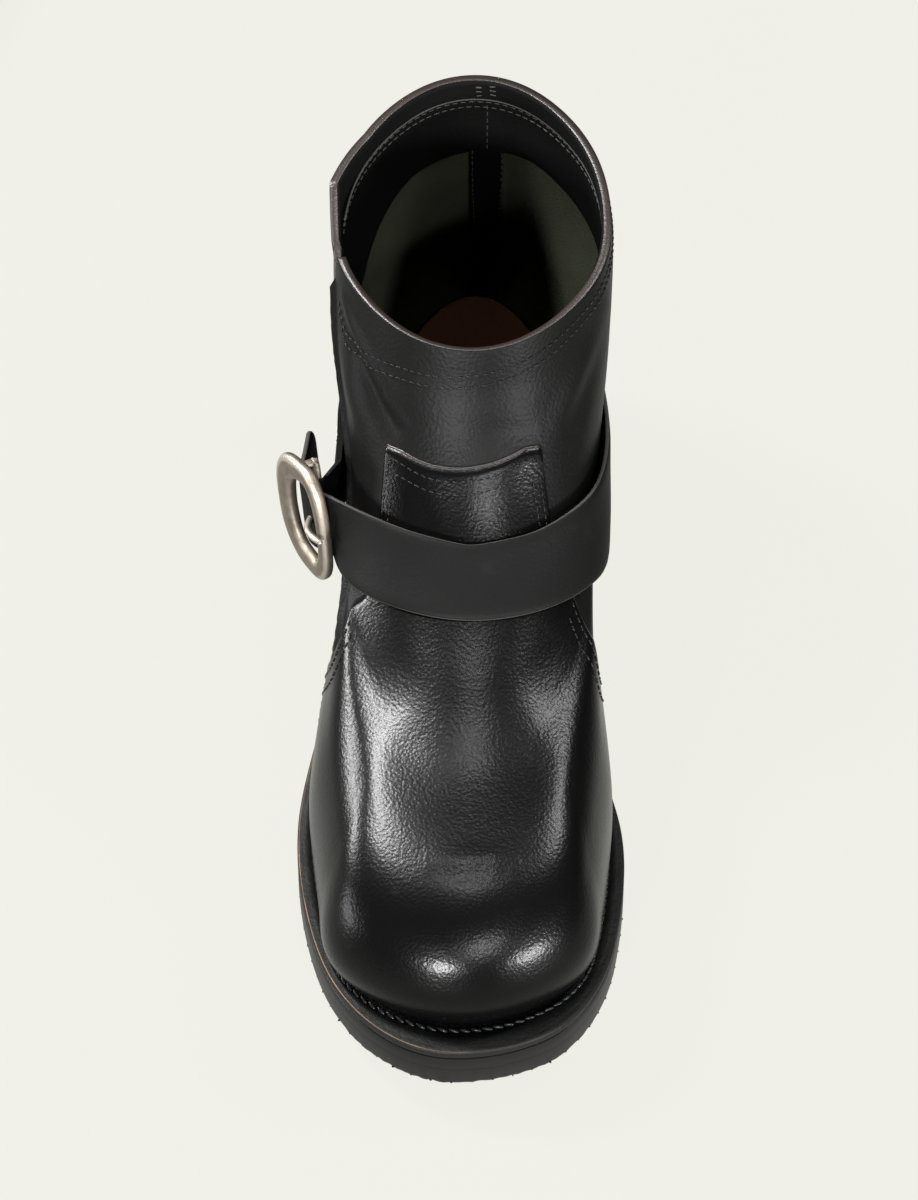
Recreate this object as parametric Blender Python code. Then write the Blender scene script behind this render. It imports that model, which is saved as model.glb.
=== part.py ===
# Pull-on ankle boot with an engineer strap, modelled as its separate pieces.
# Metres, +Z up, toe towards -Y, the medial side towards +X, the origin under the middle of the heel.
import math

import bmesh
import bpy
import numpy as np

# Driving sizes
SOLE_LENGTH = 0.285
BALL_WIDTH = 0.101
COLLAR_HEIGHT = 0.1505
SEAT_HEIGHT = 0.043
HEEL_BACK_Y = 0.031
FIT_GAP = 0.0003

# Leather and sole thicknesses; the depth of the turned hem is in rings of the upper
WALL = 0.0022
HEM_WALL = 0.0030
HEM_DEPTH = 0.8
VAMP_STEP = 0.0013
SEAM_RISE = 0.0016
WELT_THICK = 0.0035
MIDSOLE_THICK = 0.0062
FOREPART_DEPTH = 0.0187
SHANK_DEPTH = 0.0140
HEEL_LIFT = 0.0080
HEEL_BREAST = 0.78
INSOLE_THICK = 0.0035
WELT_SHELF = 0.0070

# Strap and buckle
STRAP_WIDTH = 0.0244
STRAP_THICK = 0.0023
BUCKLE_HEIGHT = 0.046
BUCKLE_LENGTH = 0.026
BUCKLE_THICK = 0.0040
REAR_BROAD = 0.0020
BAR_RADIUS = 0.0013
BAR_DROP = 0.0055
CHAPE_THICK = 0.0012
PRONG_RADIUS = 0.0011

# Top of the sole: share of the length from the toe, share of the seat height
SOLE_TOP = [
    (0.000, 0.686),
    (0.158, 0.500),
    (0.333, 0.430),
    (0.526, 0.640),
    (0.719, 0.930),
    (1.000, 1.000),
]

# Depth of the whole sole: share of the length from the toe, share of the way from forepart to shank depth
SOLE_DEPTH = [(0.0, 0.0), (0.40, 0.0), (0.48, 0.25), (0.58, 1.0), (0.80, 1.0), (1.0, 1.0)]

# Outline of the sole: share of the length from the toe, lateral and medial half widths as shares of the ball width
SOLE_OUTLINE = [
    (0.02, 0.183, 0.238),
    (0.07, 0.327, 0.391),
    (0.16, 0.441, 0.483),
    (0.31, 0.500, 0.497),
    (0.46, 0.431, 0.366),
    (0.62, 0.361, 0.312),
    (0.80, 0.356, 0.342),
    (0.94, 0.262, 0.257),
]

# Sections of the upper from the feather line to the collar, each a leaning ring.
# Front and back: place as a share of the sole length from the toe, height as a share of the collar height,
# shift to the medial side as a share of the ball width. Half widths: shares of the ball width at the stations.
STATIONS = (0.05, 0.14, 0.30, 0.52, 0.78, 0.94)
UPPER_RINGS = [
    # front place, height, shift, back place, height, shift, half widths at the stations
    (0.0463, 0.182, 0.010, 0.979, 0.286, 0.000, (0.312, 0.401, 0.431, 0.342, 0.307, 0.203)),
    (0.0316, 0.256, 0.010, 0.986, 0.359, 0.000, (0.327, 0.416, 0.450, 0.361, 0.332, 0.213)),
    (0.0386, 0.329, 0.015, 0.991, 0.439, 0.000, (0.317, 0.401, 0.436, 0.371, 0.342, 0.218)),
    (0.0702, 0.399, 0.020, 0.991, 0.512, 0.005, (0.277, 0.361, 0.401, 0.371, 0.342, 0.218)),
    (0.1474, 0.439, 0.025, 0.986, 0.578, 0.005, (0.223, 0.307, 0.371, 0.376, 0.342, 0.213)),
    (0.2632, 0.472, 0.025, 0.979, 0.635, 0.005, (0.168, 0.267, 0.351, 0.386, 0.347, 0.208)),
    (0.3754, 0.538, 0.020, 0.974, 0.691, 0.005, (0.158, 0.257, 0.347, 0.396, 0.351, 0.208)),
    (0.4737, 0.638, 0.015, 0.974, 0.751, 0.005, (0.173, 0.282, 0.371, 0.411, 0.356, 0.208)),
    (0.5404, 0.751, 0.005, 0.977, 0.824, 0.005, (0.183, 0.297, 0.391, 0.421, 0.356, 0.203)),
    (0.5860, 0.864, 0.000, 0.984, 0.917, 0.005, (0.186, 0.297, 0.396, 0.426, 0.354, 0.198)),
    (0.6175, 0.980, 0.000, 0.989, 1.000, 0.000, (0.181, 0.292, 0.396, 0.419, 0.337, 0.188)),
]
TOP_RING = len(UPPER_RINGS) - 1.0

# Sideways bend of the low rings: share of the way back, shift to the medial side as a share of the ball width
FOOT_BOW = [(0.0, 0.0), (0.14, 0.005), (0.30, -0.008), (0.52, -0.020), (0.78, 0.0), (1.0, 0.0)]

# Top edge of the collar: angle round the upper in degrees (0 front, lateral side negative), ring number
COLLAR_EDGE = [(-180, 10.0), (-100, 10.0), (-82, 8.35), (-79, 8.35), (-72, 9.80), (-69, 10.0), (180, 10.0)]

# Upper edge of the vamp and its tab: angle in degrees, ring number
VAMP_EDGE = [
    (-180, 0.3), (-92, 0.3), (-85, 1.2), (-74, 3.5), (-66, 4.8), (-50, 5.9), (-42, 6.9), (-37.6, 7.6),
    (-36, 7.95), (-29, 8.03), (-16, 8.05), (-2, 8.10), (11, 8.15), (24, 8.20), (31, 8.10),
    (32.6, 7.6), (37, 6.9), (47, 6.1), (56, 5.5), (69, 4.2), (80, 2.2), (88, 0.8), (92, 0.3), (180, 0.3),
]

# Middle of the strap on the upper: angle in degrees, ring number, inner face above the upper in millimetres
STRAP_PATH = [
    (-58, 5.96, 3.7), (-45, 6.32, 2.7), (-30, 6.58, 2.3), (-16, 6.73, 2.3), (0, 6.73, 2.3), (16, 6.73, 2.3),
    (30, 6.58, 2.4), (45, 6.35, 2.7), (58, 6.08, 3.6), (70, 5.70, 4.2), (87, 5.04, 3.0), (95, 4.62, 2.1),
    (102, 4.16, 1.4), (114, 3.42, 0.8), (124, 3.00, 0.6), (136, 2.75, 0.6), (150, 2.60, 0.6), (180, 2.45, 0.6),
    (210, 2.60, 0.6), (224, 2.75, 0.6), (236, 3.00, 0.6), (246, 3.35, 0.7),
]

# Strap through the buckle: shares of the buckle's length along it, millimetres out from its middle plane
STRAP_IN_BUCKLE = [(-0.56, -2.9), (-0.37, -3.9), (0.0, -1.2), (0.30, -4.6), (0.55, -9.6), (0.80, -14.6), (0.95, -17.4)]


def place_y(share):
    """Y of a share of the sole length from the toe."""
    return HEEL_BACK_Y - SOLE_LENGTH * (1.0 - share)


def spline(knots, values, x):
    """Smooth curve through the values at the knots; the last axis of values may hold several curves."""
    knots = np.asarray(knots, float)
    values = np.asarray(values, float)
    x = np.asarray(x, float)
    slopes = np.gradient(values, knots, axis=0, edge_order=1)
    low = np.clip(np.searchsorted(knots, x, side="right") - 1, 0, len(knots) - 2)
    step = knots[low + 1] - knots[low]
    s = (x - knots[low]) / step
    if values.ndim > 1:
        step = step[..., None]
        s = s[..., None]
    start = (2 * s**3 - 3 * s**2 + 1) * values[low] + (s**3 - 2 * s**2 + s) * step * slopes[low]
    end = (3 * s**2 - 2 * s**3) * values[low + 1] + (s**3 - s**2) * step * slopes[low + 1]
    return start + end


def spline_each(knots, values, x):
    """The same curve for rows of values, one row for each x."""
    knots = np.asarray(knots, float)
    slopes = np.gradient(values, knots, axis=1, edge_order=1)
    low = np.clip(np.searchsorted(knots, x, side="right") - 1, 0, len(knots) - 2)
    step = knots[low + 1] - knots[low]
    s = (x - knots[low]) / step
    row = np.arange(len(x))
    start = (2 * s**3 - 3 * s**2 + 1) * values[row, low] + (s**3 - 2 * s**2 + s) * step * slopes[row, low]
    end = (3 * s**2 - 2 * s**3) * values[row, low + 1] + (s**3 - s**2) * step * slopes[row, low + 1]
    return start + end


def table_line(table, x, column=1):
    """Straight lines between the rows of a table."""
    return np.interp(x, [row[0] for row in table], [row[column] for row in table])


def smooth_line(table, x, column=1):
    """Smooth curve through the rows of a table."""
    return spline([row[0] for row in table], [row[column] for row in table], x)


def round_end(share):
    """Fullness of a rounded outline, 0 at both ends and 1 in the middle."""
    return 2.0 * np.sqrt(np.clip(share * (1.0 - share), 0.0, None))


def sole_top(share):
    """Height of the sole's top, on which the upper stands."""
    return SEAT_HEIGHT * smooth_line(SOLE_TOP, share)


def sole_bottom(share):
    """Height of the outsole's underside, flat at the forefoot."""
    blend = table_line(SOLE_DEPTH, share)
    depth = FOREPART_DEPTH + (SHANK_DEPTH - FOREPART_DEPTH) * blend
    return np.maximum(sole_top(share) - depth, 0.0)


def sole_outline(angle):
    """Outline of the sole; angle 0 is the toe, pi the heel, negative the lateral side."""
    share = (1.0 - np.cos(angle)) / 2.0
    knots = [0.0] + [row[0] for row in SOLE_OUTLINE] + [1.0]
    half = np.zeros(np.shape(angle))
    for column, here in ((1, angle < 0), (2, angle >= 0)):
        full = [row[column] / round_end(np.array(row[0])) for row in SOLE_OUTLINE]
        curve = spline(knots, [full[0]] + full + [full[-1]], share)
        half = np.where(here, curve, half)
    x = np.sign(angle) * half * round_end(share) * BALL_WIDTH
    return np.stack([x, place_y(share)], -1)


def moved_in(loop, distance):
    """A closed outline moved inwards by a distance."""
    ahead = np.roll(loop, -1, axis=0) - np.roll(loop, 1, axis=0)
    normal = np.stack([ahead[:, 1], -ahead[:, 0]], -1)
    normal /= np.linalg.norm(normal, axis=1, keepdims=True)
    middle = loop.mean(axis=0)
    if ((loop - middle) * normal).sum() > 0:
        normal = -normal
    return loop + normal * distance


def share_of(y):
    """Share of the sole length from the toe at a Y."""
    return 1.0 - (HEEL_BACK_Y - y) / SOLE_LENGTH


def form_point(ring, angle):
    """Outer surface of the last: ring number from the feather line, angle round it in radians."""
    ring, angle = np.broadcast_arrays(np.asarray(ring, float), np.asarray(angle, float))
    shape = ring.shape
    ring = ring.reshape(-1)
    angle = (angle.reshape(-1) + math.pi) % (2.0 * math.pi) - math.pi
    full = [[width / round_end(np.array(at)) for width, at in zip(row[6], STATIONS)] for row in UPPER_RINGS]
    rows = np.array([list(row[:6]) + wide for row, wide in zip(UPPER_RINGS, full)])
    here = spline(np.arange(len(UPPER_RINGS)), rows, ring)
    share = (1.0 - np.cos(angle)) / 2.0
    front_at, front_up, front_shift, back_at, back_up, back_shift = here[:, :6].T
    at = front_at + (back_at - front_at) * share
    up = COLLAR_HEIGHT * (front_up + (back_up - front_up) * share)
    straight = sole_top(front_at) + (sole_top(back_at) - sole_top(front_at)) * share
    up = up + (sole_top(at) - straight) * np.clip(1.0 - ring / 5.0, 0.0, 1.0) ** 1.5
    knots = np.array((0.0,) + STATIONS + (1.0,))
    widths = np.concatenate([here[:, 6:7], here[:, 6:], here[:, -1:]], axis=1)
    half = spline_each(knots, widths, share) * round_end(share)
    bow = smooth_line(FOOT_BOW, share) * np.clip(1.0 - ring / 6.0, 0.0, 1.0)
    shift = front_shift + (back_shift - front_shift) * share
    x = BALL_WIDTH * (np.sign(angle) * half + bow + shift)
    return np.stack([x, place_y(at), up], -1).reshape(shape + (3,))


def form_normal(ring, angle):
    """Unit normal of the last, pointing out."""
    reach = 0.02
    along = form_point(ring, angle + reach) - form_point(ring, angle - reach)
    rise = form_point(ring + reach, angle) - form_point(np.maximum(ring - reach, 0.0), angle)
    normal = np.cross(along, rise)
    return normal / np.linalg.norm(normal, axis=-1, keepdims=True)


def upper_relief(ring, angle):
    """Height of the outer wall over the last: the side seam and the flared corner beside the notch."""
    degrees = np.degrees(angle)
    seam = np.clip(1.0 - (np.abs(degrees + 77.0) - 1.6) / 0.9, 0.0, 1.0) * SEAM_RISE
    corner = np.clip(1.0 + (degrees + 99.0) / 24.0, 0.0, 1.0) * (degrees < -90.0)
    flare = corner * np.clip((ring - 8.6) / 1.4, 0.0, 1.0) ** 1.5 * 0.0032
    return seam, flare


def new_collection(name):
    collection = bpy.data.collections.new(name)
    bpy.context.scene.collection.children.link(collection)
    return collection


def leather_material(name, colour, roughness):
    material = bpy.data.materials.new(name)
    material.use_nodes = True
    shader = material.node_tree.nodes["Principled BSDF"]
    shader.inputs["Base Color"].default_value = (*colour, 1.0)
    shader.inputs["Roughness"].default_value = roughness
    return material


def metal_material(name, colour, roughness):
    material = leather_material(name, colour, roughness)
    material.node_tree.nodes["Principled BSDF"].inputs["Metallic"].default_value = 1.0
    return material


def add_object(name, points, faces, material):
    """A mesh object of the part, with its faces turned outwards."""
    mesh = bpy.data.meshes.new(name)
    mesh.from_pydata([tuple(point) for point in points], [], faces)
    mesh.materials.append(material)
    work = bmesh.new()
    work.from_mesh(mesh)
    bmesh.ops.recalc_face_normals(work, faces=work.faces)
    bmesh.ops.triangulate(work, faces=work.faces)
    work.to_mesh(mesh)
    work.free()
    item = bpy.data.objects.new(name, mesh)
    PART.objects.link(item)
    return item


def add_cutter(name, points, faces):
    item = add_object(name, points, faces, CUT_MATERIAL)
    PART.objects.unlink(item)
    CUTTERS.objects.link(item)
    item.hide_render = True
    item.display_type = "WIRE"
    return item


def combine(item, other, operation):
    """Boolean of one object with another."""
    modifier = item.modifiers.new(operation.lower(), "BOOLEAN")
    modifier.operation = operation
    modifier.solver = "EXACT"
    modifier.object = other


def joined_loops(loops, closed):
    """Quads between loops of equal length; closed also joins the last to the first."""
    count = len(loops[0])
    faces = []
    pairs = len(loops) if closed else len(loops) - 1
    for k in range(pairs):
        a = k * count
        b = ((k + 1) % len(loops)) * count
        for i in range(count):
            j = (i + 1) % count
            faces.append((a + i, a + j, b + j, b + i))
    return faces


def ladder_cap(start, count):
    """Flat rungs across a loop that starts at the heel and runs round by the toe."""
    faces = []
    half = count // 2
    for i in range(half):
        corners = [i, i + 1, (count - i - 1) % count, (count - i) % count]
        corners = list(dict.fromkeys(corners))
        faces.append(tuple(start + corner for corner in corners))
    return faces


def open_ladder_cap(start, count):
    """Rungs across a loop whose first and last points are joined by a straight edge."""
    faces = []
    for i in range(count // 2):
        corners = [i, i + 1, count - 2 - i, count - 1 - i]
        corners = list(dict.fromkeys(corners))
        if len(corners) > 2:
            faces.append(tuple(start + corner for corner in corners))
    return faces


LOOP_ANGLES = np.linspace(-math.pi, math.pi, 80, endpoint=False)


def sole_loop(inset, height):
    """Loop of the sole outline moved in by an inset, its height from a function of the share."""
    flat = moved_in(sole_outline(LOOP_ANGLES), inset)
    return np.column_stack([flat, height(share_of(flat[:, 1]))])


def foot_loop(inset, rise):
    """Loop inside the upper's feather line, its height over the sole's top."""
    line = form_point(np.zeros(len(LOOP_ANGLES)), LOOP_ANGLES)[:, :2]
    flat = moved_in(line, inset)
    return np.column_stack([flat, sole_top(share_of(flat[:, 1])) + rise])


def add_plate(name, loops, material):
    points = np.concatenate(loops)
    count = len(loops[0])
    faces = joined_loops(loops, False)
    faces += ladder_cap(0, count)
    faces += ladder_cap(count * (len(loops) - 1), count)
    return add_object(name, points, faces, material)


def build_welt(material):
    loops = [
        sole_loop(0.0010, sole_top),
        sole_loop(0.0003, lambda share: sole_top(share) - 0.0005),
        sole_loop(0.0, lambda share: sole_top(share) - 0.0013),
        sole_loop(0.0, lambda share: sole_top(share) - WELT_THICK),
        foot_loop(WELT_SHELF, -WELT_THICK),
        foot_loop(WELT_SHELF, 0.0),
    ]
    return add_object("welt", np.concatenate(loops), joined_loops(loops, True), material)


def build_midsole(material):
    top = WELT_THICK + FIT_GAP
    foot = WELT_THICK + MIDSOLE_THICK
    loops = [
        sole_loop(0.0, lambda share: sole_top(share) - foot),
        sole_loop(0.0, lambda share: sole_top(share) - top - 0.0006),
        sole_loop(0.0006, lambda share: sole_top(share) - top),
    ]
    return add_plate("midsole", loops, material)


def build_outsole(material):
    top = WELT_THICK + MIDSOLE_THICK + FIT_GAP
    loops = [
        sole_loop(0.0015, sole_bottom),
        sole_loop(0.0, lambda share: sole_bottom(share) + 0.0012),
        sole_loop(0.0, lambda share: sole_top(share) - top - 0.0005),
        sole_loop(0.0005, lambda share: sole_top(share) - top),
    ]
    return add_plate("outsole", loops, material)


def heel_loop(inset, height):
    """Loop of the heel: the back of the sole outline, closed by the straight breast."""
    reach = math.acos(1.0 - 2.0 * HEEL_BREAST)
    lateral = -np.linspace(reach, math.pi, 15)
    medial = np.linspace(math.pi, reach, 15)[1:]
    line = sole_outline(np.concatenate([lateral, medial]))
    middle = np.array([0.0, place_y(0.89)])
    away = line - middle
    size = np.linalg.norm(away, axis=1, keepdims=True)
    flat = line - away / size * inset
    return np.column_stack([flat, height(share_of(flat[:, 1]))])


def add_heel_block(name, loops, material):
    count = len(loops[0])
    faces = joined_loops(loops, False)
    faces += open_ladder_cap(0, count)
    faces += open_ladder_cap(count * (len(loops) - 1), count)
    return add_object(name, np.concatenate(loops), faces, material)


def build_heel_stack(material):
    loops = [
        heel_loop(0.0022, lambda share: HEEL_LIFT + FIT_GAP + 0.0 * share),
        heel_loop(0.0012, lambda share: 0.5 * (HEEL_LIFT + sole_bottom(share))),
        heel_loop(0.0005, lambda share: sole_bottom(share) - FIT_GAP),
    ]
    return add_heel_block("heel_stack", loops, material)


def build_heel_lift(material):
    loops = [
        heel_loop(0.0040, lambda share: 0.0 * share),
        heel_loop(0.0030, lambda share: 0.0010 + 0.0 * share),
        heel_loop(0.0022, lambda share: HEEL_LIFT + 0.0 * share),
    ]
    return add_heel_block("heel_lift", loops, material)


def build_insole(material):
    clear = WALL + 0.0005
    loops = [
        foot_loop(WELT_SHELF + FIT_GAP, FIT_GAP - WELT_THICK),
        foot_loop(WELT_SHELF + FIT_GAP, FIT_GAP),
        foot_loop(clear, FIT_GAP),
        foot_loop(clear, FIT_GAP + INSOLE_THICK - 0.0008),
        foot_loop(clear + 0.0008, FIT_GAP + INSOLE_THICK),
    ]
    return add_plate("insole", loops, material)


def upper_columns():
    """Angles of the upper's columns, close together at the notch, the side seam and the tab."""
    plain = list(np.arange(-180.0, 180.0, 6.0))
    notch = [-100.0, -95.0, -90.0, -85.0, -82.0, -79.5, -78.6, -75.4, -74.5, -72.0, -69.0]
    tab = [-42.0, -37.6, -36.0, -33.0, 28.0, 31.0, 32.6, 37.0]
    clear = [a for a in plain if min(abs(a - b) for b in notch + tab) > 1.9]
    return np.radians(sorted(clear + notch + tab))


def build_upper(material):
    """Hollow shell: outer wall with the vamp step, inner wall, joined at the collar and the feather line."""
    angle = upper_columns()
    degrees = np.degrees(angle)
    top = table_line(COLLAR_EDGE, degrees)
    edge = np.minimum(table_line(VAMP_EDGE, degrees), top - 0.5)
    step = VAMP_STEP * np.clip((edge - 0.3) / 0.9, 0.0, 1.0)
    loops = []
    for share in (0.0, 0.07, 0.15, 0.24, 0.33, 0.42, 0.51, 0.59, 0.66, 0.73, 0.80, 0.87, 0.94, 1.0):
        loops.append(wall_loop(edge * share, angle, step))
    for share in (0.0, 0.10, 0.22, 0.36, 0.52, 0.68, 0.84, 0.96, 1.0):
        ring = edge + 0.04 + (top - edge - 0.04) * share
        loops.append(wall_loop(ring, angle, 0.0 * step - 0.0006 * (share == 1.0)))
    for share in (1.0, 0.96, 0.88, 0.76, 0.62, 0.48, 0.36, 0.26, 0.17, 0.09, 0.0):
        ring = top * share
        hem = np.where(top - ring < HEM_DEPTH, HEM_WALL, WALL) - 0.0006 * (share == 1.0)
        loops.append(form_point(ring, angle) - form_normal(ring, angle) * hem[:, None]
                     + form_normal(ring, angle) * upper_relief(ring, angle)[1][:, None])
    loops[-1][:, 2] = loops[0][:, 2]
    return add_object("upper", np.concatenate(loops), joined_loops(loops, True), material)


def wall_loop(ring, angle, step):
    seam, flare = upper_relief(ring, angle)
    rise = np.maximum(step, seam) + flare
    point = form_point(ring, angle) + form_normal(ring, angle) * rise[:, None]
    low = ring <= 0.0
    point[low, 2] = sole_top(share_of(point[low, 1])) + FIT_GAP
    return point


def buckle_axes():
    """Middle of the buckle and its directions: along the strap, up across it, and out."""
    front = np.array([-0.44555 * BALL_WIDTH, place_y(0.53684), 0.56478 * COLLAR_HEIGHT])
    rear = np.array([-0.53960 * BALL_WIDTH, place_y(0.58596), 0.53621 * COLLAR_HEIGHT])
    along = (rear - front) / np.linalg.norm(rear - front)
    across = np.array([-0.083, 0.224, 0.970])
    across -= along * (across @ along)
    across /= np.linalg.norm(across)
    out = -np.cross(along, across)
    return (front + rear) / 2.0, along, across, out


def buckle_point(u, w, n):
    middle, along, across, out = buckle_axes()
    u, w, n = np.broadcast_arrays(np.asarray(u, float), np.asarray(w, float), np.asarray(n, float))
    return middle + u[..., None] * along + w[..., None] * across + n[..., None] * out


def walk_on_form(ring, angle, along, across, width):
    """Point of the last at a width across the strap, and its normal."""
    start = form_point(ring, angle)
    ring = ring.copy()
    angle = angle.copy()
    small = 0.01
    for _ in range(8):
        here = form_point(ring, angle) - start
        miss_a = width - (here * across).sum(-1)
        miss_t = -(here * along).sum(-1)
        by_ring = (form_point(ring + small, angle) - form_point(ring - small, angle)) / (2.0 * small)
        by_angle = (form_point(ring, angle + small) - form_point(ring, angle - small)) / (2.0 * small)
        ra, rt = (by_ring * across).sum(-1), (by_ring * along).sum(-1)
        aa, at = (by_angle * across).sum(-1), (by_angle * along).sum(-1)
        size = ra * at - aa * rt
        ring += np.clip((miss_a * at - aa * miss_t) / size, -0.8, 0.8)
        angle += np.clip((ra * miss_t - rt * miss_a) / size, -0.3, 0.3)
    return form_point(ring, angle), form_normal(ring, angle)


def strap_rows(widths):
    """Rows of the strap from its tip to its sewn end: middle points at the widths, and outward directions."""
    turn = np.concatenate([np.arange(-58.0, 80.0, 6.0), np.arange(82.0, 243.0, 7.0), [244.0]])
    ring = smooth_line(STRAP_PATH, turn)
    rise = smooth_line(STRAP_PATH, turn, 2) * 0.001 + STRAP_THICK / 2.0
    angle = np.radians(turn)
    wrapped = np.where(angle > math.pi, angle - 2.0 * math.pi, angle)
    line = form_point(ring, wrapped)
    along = np.gradient(line, axis=0)
    along /= np.linalg.norm(along, axis=1, keepdims=True)
    normal = form_normal(ring, wrapped)
    across = np.cross(normal, along)
    across /= np.linalg.norm(across, axis=1, keepdims=True)
    points = []
    outs = []
    for width in widths:
        at, out = walk_on_form(ring, wrapped, along, across, np.full(len(ring), width))
        points.append(at + out * rise[:, None])
        outs.append(out)
    on_foot = np.stack(points, 1)
    foot_out = np.stack(outs, 1)
    u = np.array([row[0] for row in STRAP_IN_BUCKLE][::-1]) * BUCKLE_LENGTH
    n = np.array([row[1] for row in STRAP_IN_BUCKLE][::-1]) * 0.001
    fine = np.linspace(0.0, len(u) - 1.0, 15)
    u = spline(np.arange(len(u)), u, fine)
    n = spline(np.arange(len(n)), n, fine)
    _, length_way, across_way, out_way = buckle_axes()
    slope_u = np.gradient(u)
    slope_n = np.gradient(n)
    size = np.hypot(slope_u, slope_n)
    outward = -(slope_u / size)[:, None] * out_way + (slope_n / size)[:, None] * length_way
    taper = np.clip(0.55 + 0.45 * np.arange(15) / 2.0, 0.0, 1.0)
    lean = np.clip(-u / BUCKLE_LENGTH - 0.36, 0.0, 0.20) / 0.20 * 0.16
    through = np.stack([buckle_point(u, width * taper, n - lean * width) for width in widths], 1)
    through_out = np.repeat(outward[:, None, :], len(widths), 1)
    return np.concatenate([through, on_foot]), np.concatenate([through_out, foot_out])


def add_strip(name, middle, outward, thick, material):
    """Closed strip: rows of middle points thickened both ways along their outward directions."""
    rows, across = middle.shape[:2]
    outer = middle + outward * thick / 2.0
    inner = middle - outward * thick / 2.0
    ring = np.concatenate([outer, inner[:, ::-1]], 1)
    count = 2 * across
    faces = []
    for k in range(rows - 1):
        for i in range(count):
            j = (i + 1) % count
            faces.append((k * count + i, k * count + j, (k + 1) * count + j, (k + 1) * count + i))
    for k in (0, rows - 1):
        for i in range(across - 1):
            faces.append((k * count + i, k * count + i + 1, k * count + count - 2 - i, k * count + count - 1 - i))
    return add_object(name, ring.reshape(-1, 3), faces, material)


def build_strap(material):
    widths = STRAP_WIDTH * np.array([-0.5, -0.25, 0.0, 0.25, 0.5])
    middle, outward = strap_rows(widths)
    strap = add_strip("strap", middle, outward, STRAP_THICK, material)
    hole = add_rod("strap_hole", [buckle_point(-0.0022, 0.0, 0.004), buckle_point(-0.0022, 0.0, -0.0062)],
                   [0.0029, 0.0029], 12, CUT_MATERIAL, True)
    combine(strap, hole, "DIFFERENCE")
    return strap


def add_rod(name, path, radii, sides, material, cutter=False):
    """Round rod along a path, with a radius at each point."""
    path = np.array(path)
    along = np.gradient(path, axis=0)
    along /= np.linalg.norm(along, axis=1, keepdims=True)
    _, _, across, out = buckle_axes()
    first = out if abs(along[0] @ out) < 0.8 else across
    points = []
    for at, way, radius in zip(path, along, radii):
        side = first - way * (first @ way)
        side /= np.linalg.norm(side)
        other = np.cross(way, side)
        turn = np.linspace(0.0, 2.0 * math.pi, sides, endpoint=False)
        points.append(at + radius * (np.cos(turn)[:, None] * side + np.sin(turn)[:, None] * other))
    count = len(path)
    faces = joined_loops(points, False)
    faces += [tuple(range(sides)), tuple(range((count - 1) * sides, count * sides))]
    if cutter:
        return add_cutter(name, np.concatenate(points), faces)
    return add_object(name, np.concatenate(points), faces, material)


def build_buckle(material):
    """Rounded frame with a heavier rear and a straight front, and the dropped bar joined behind it."""
    turn = np.linspace(0.0, 2.0 * math.pi, 36, endpoint=False)
    square = 2.0 / 3.2
    u = np.sign(np.cos(turn)) * np.abs(np.cos(turn)) ** square
    w = np.sign(np.sin(turn)) * np.abs(np.sin(turn)) ** square
    broad = REAR_BROAD * (1.0 + u) / 2.0
    band = 0.0046 + 0.0012 * (1.0 + u) / 2.0 + 0.0016 * np.abs(w) + broad
    half_length = BUCKLE_LENGTH / 2.0 - band / 2.0 + broad
    half_height = BUCKLE_HEIGHT / 2.0 - band / 2.0
    narrow = 1.0 - 0.10 * (1.0 + u) / 2.0
    centre = np.stack([u * half_length, w * half_height * narrow], -1)
    ahead = np.roll(centre, -1, axis=0) - np.roll(centre, 1, axis=0)
    side = np.stack([ahead[:, 1], -ahead[:, 0]], -1)
    side /= np.linalg.norm(side, axis=1, keepdims=True)
    section = np.linspace(0.0, 2.0 * math.pi, 10, endpoint=False) + math.pi / 10.0
    reach = np.sign(np.cos(section)) * np.abs(np.cos(section)) ** 0.7
    lift = np.sign(np.sin(section)) * np.abs(np.sin(section)) ** 0.7
    loops = []
    for r, h in zip(reach, lift):
        flat = centre + side * (band / 2.0)[:, None] * r
        loops.append(buckle_point(flat[:, 0], flat[:, 1], np.full(len(turn), BUCKLE_THICK / 2.0 * h)))
    frame = add_object("buckle", np.concatenate(loops), joined_loops(loops, True), material)
    reach_w = BUCKLE_HEIGHT / 2.0 - 0.0035
    path = [
        buckle_point(0.0, -reach_w, -0.0005),
        buckle_point(0.0, -reach_w + 0.0006, -BAR_DROP + 0.0012),
        buckle_point(0.0, -reach_w + 0.0022, -BAR_DROP),
        buckle_point(0.0, reach_w - 0.0022, -BAR_DROP),
        buckle_point(0.0, reach_w - 0.0006, -BAR_DROP + 0.0012),
        buckle_point(0.0, reach_w, -0.0005),
    ]
    bar = add_rod("buckle_bar", path, [BAR_RADIUS] * 6, 12, CUT_MATERIAL, True)
    combine(frame, bar, "UNION")
    return frame


def side_of_form(from_toe, height):
    """Ring and angle of the last's lateral side at a share of the length and of the collar's height."""
    goal = np.array([place_y(from_toe), height * COLLAR_HEIGHT])
    ring = np.array([4.5])
    angle = np.array([math.radians(-95.0)])
    small = 0.01
    for _ in range(20):
        here = form_point(ring, angle)[0, 1:]
        by_ring = (form_point(ring + small, angle) - form_point(ring - small, angle))[0, 1:] / (2.0 * small)
        by_angle = (form_point(ring, angle + small) - form_point(ring, angle - small))[0, 1:] / (2.0 * small)
        step = np.linalg.solve(np.column_stack([by_ring, by_angle]), goal - here)
        ring += np.clip(step[0], -0.5, 0.5)
        angle += np.clip(step[1], -0.2, 0.2)
    return ring[0], angle[0]


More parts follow.
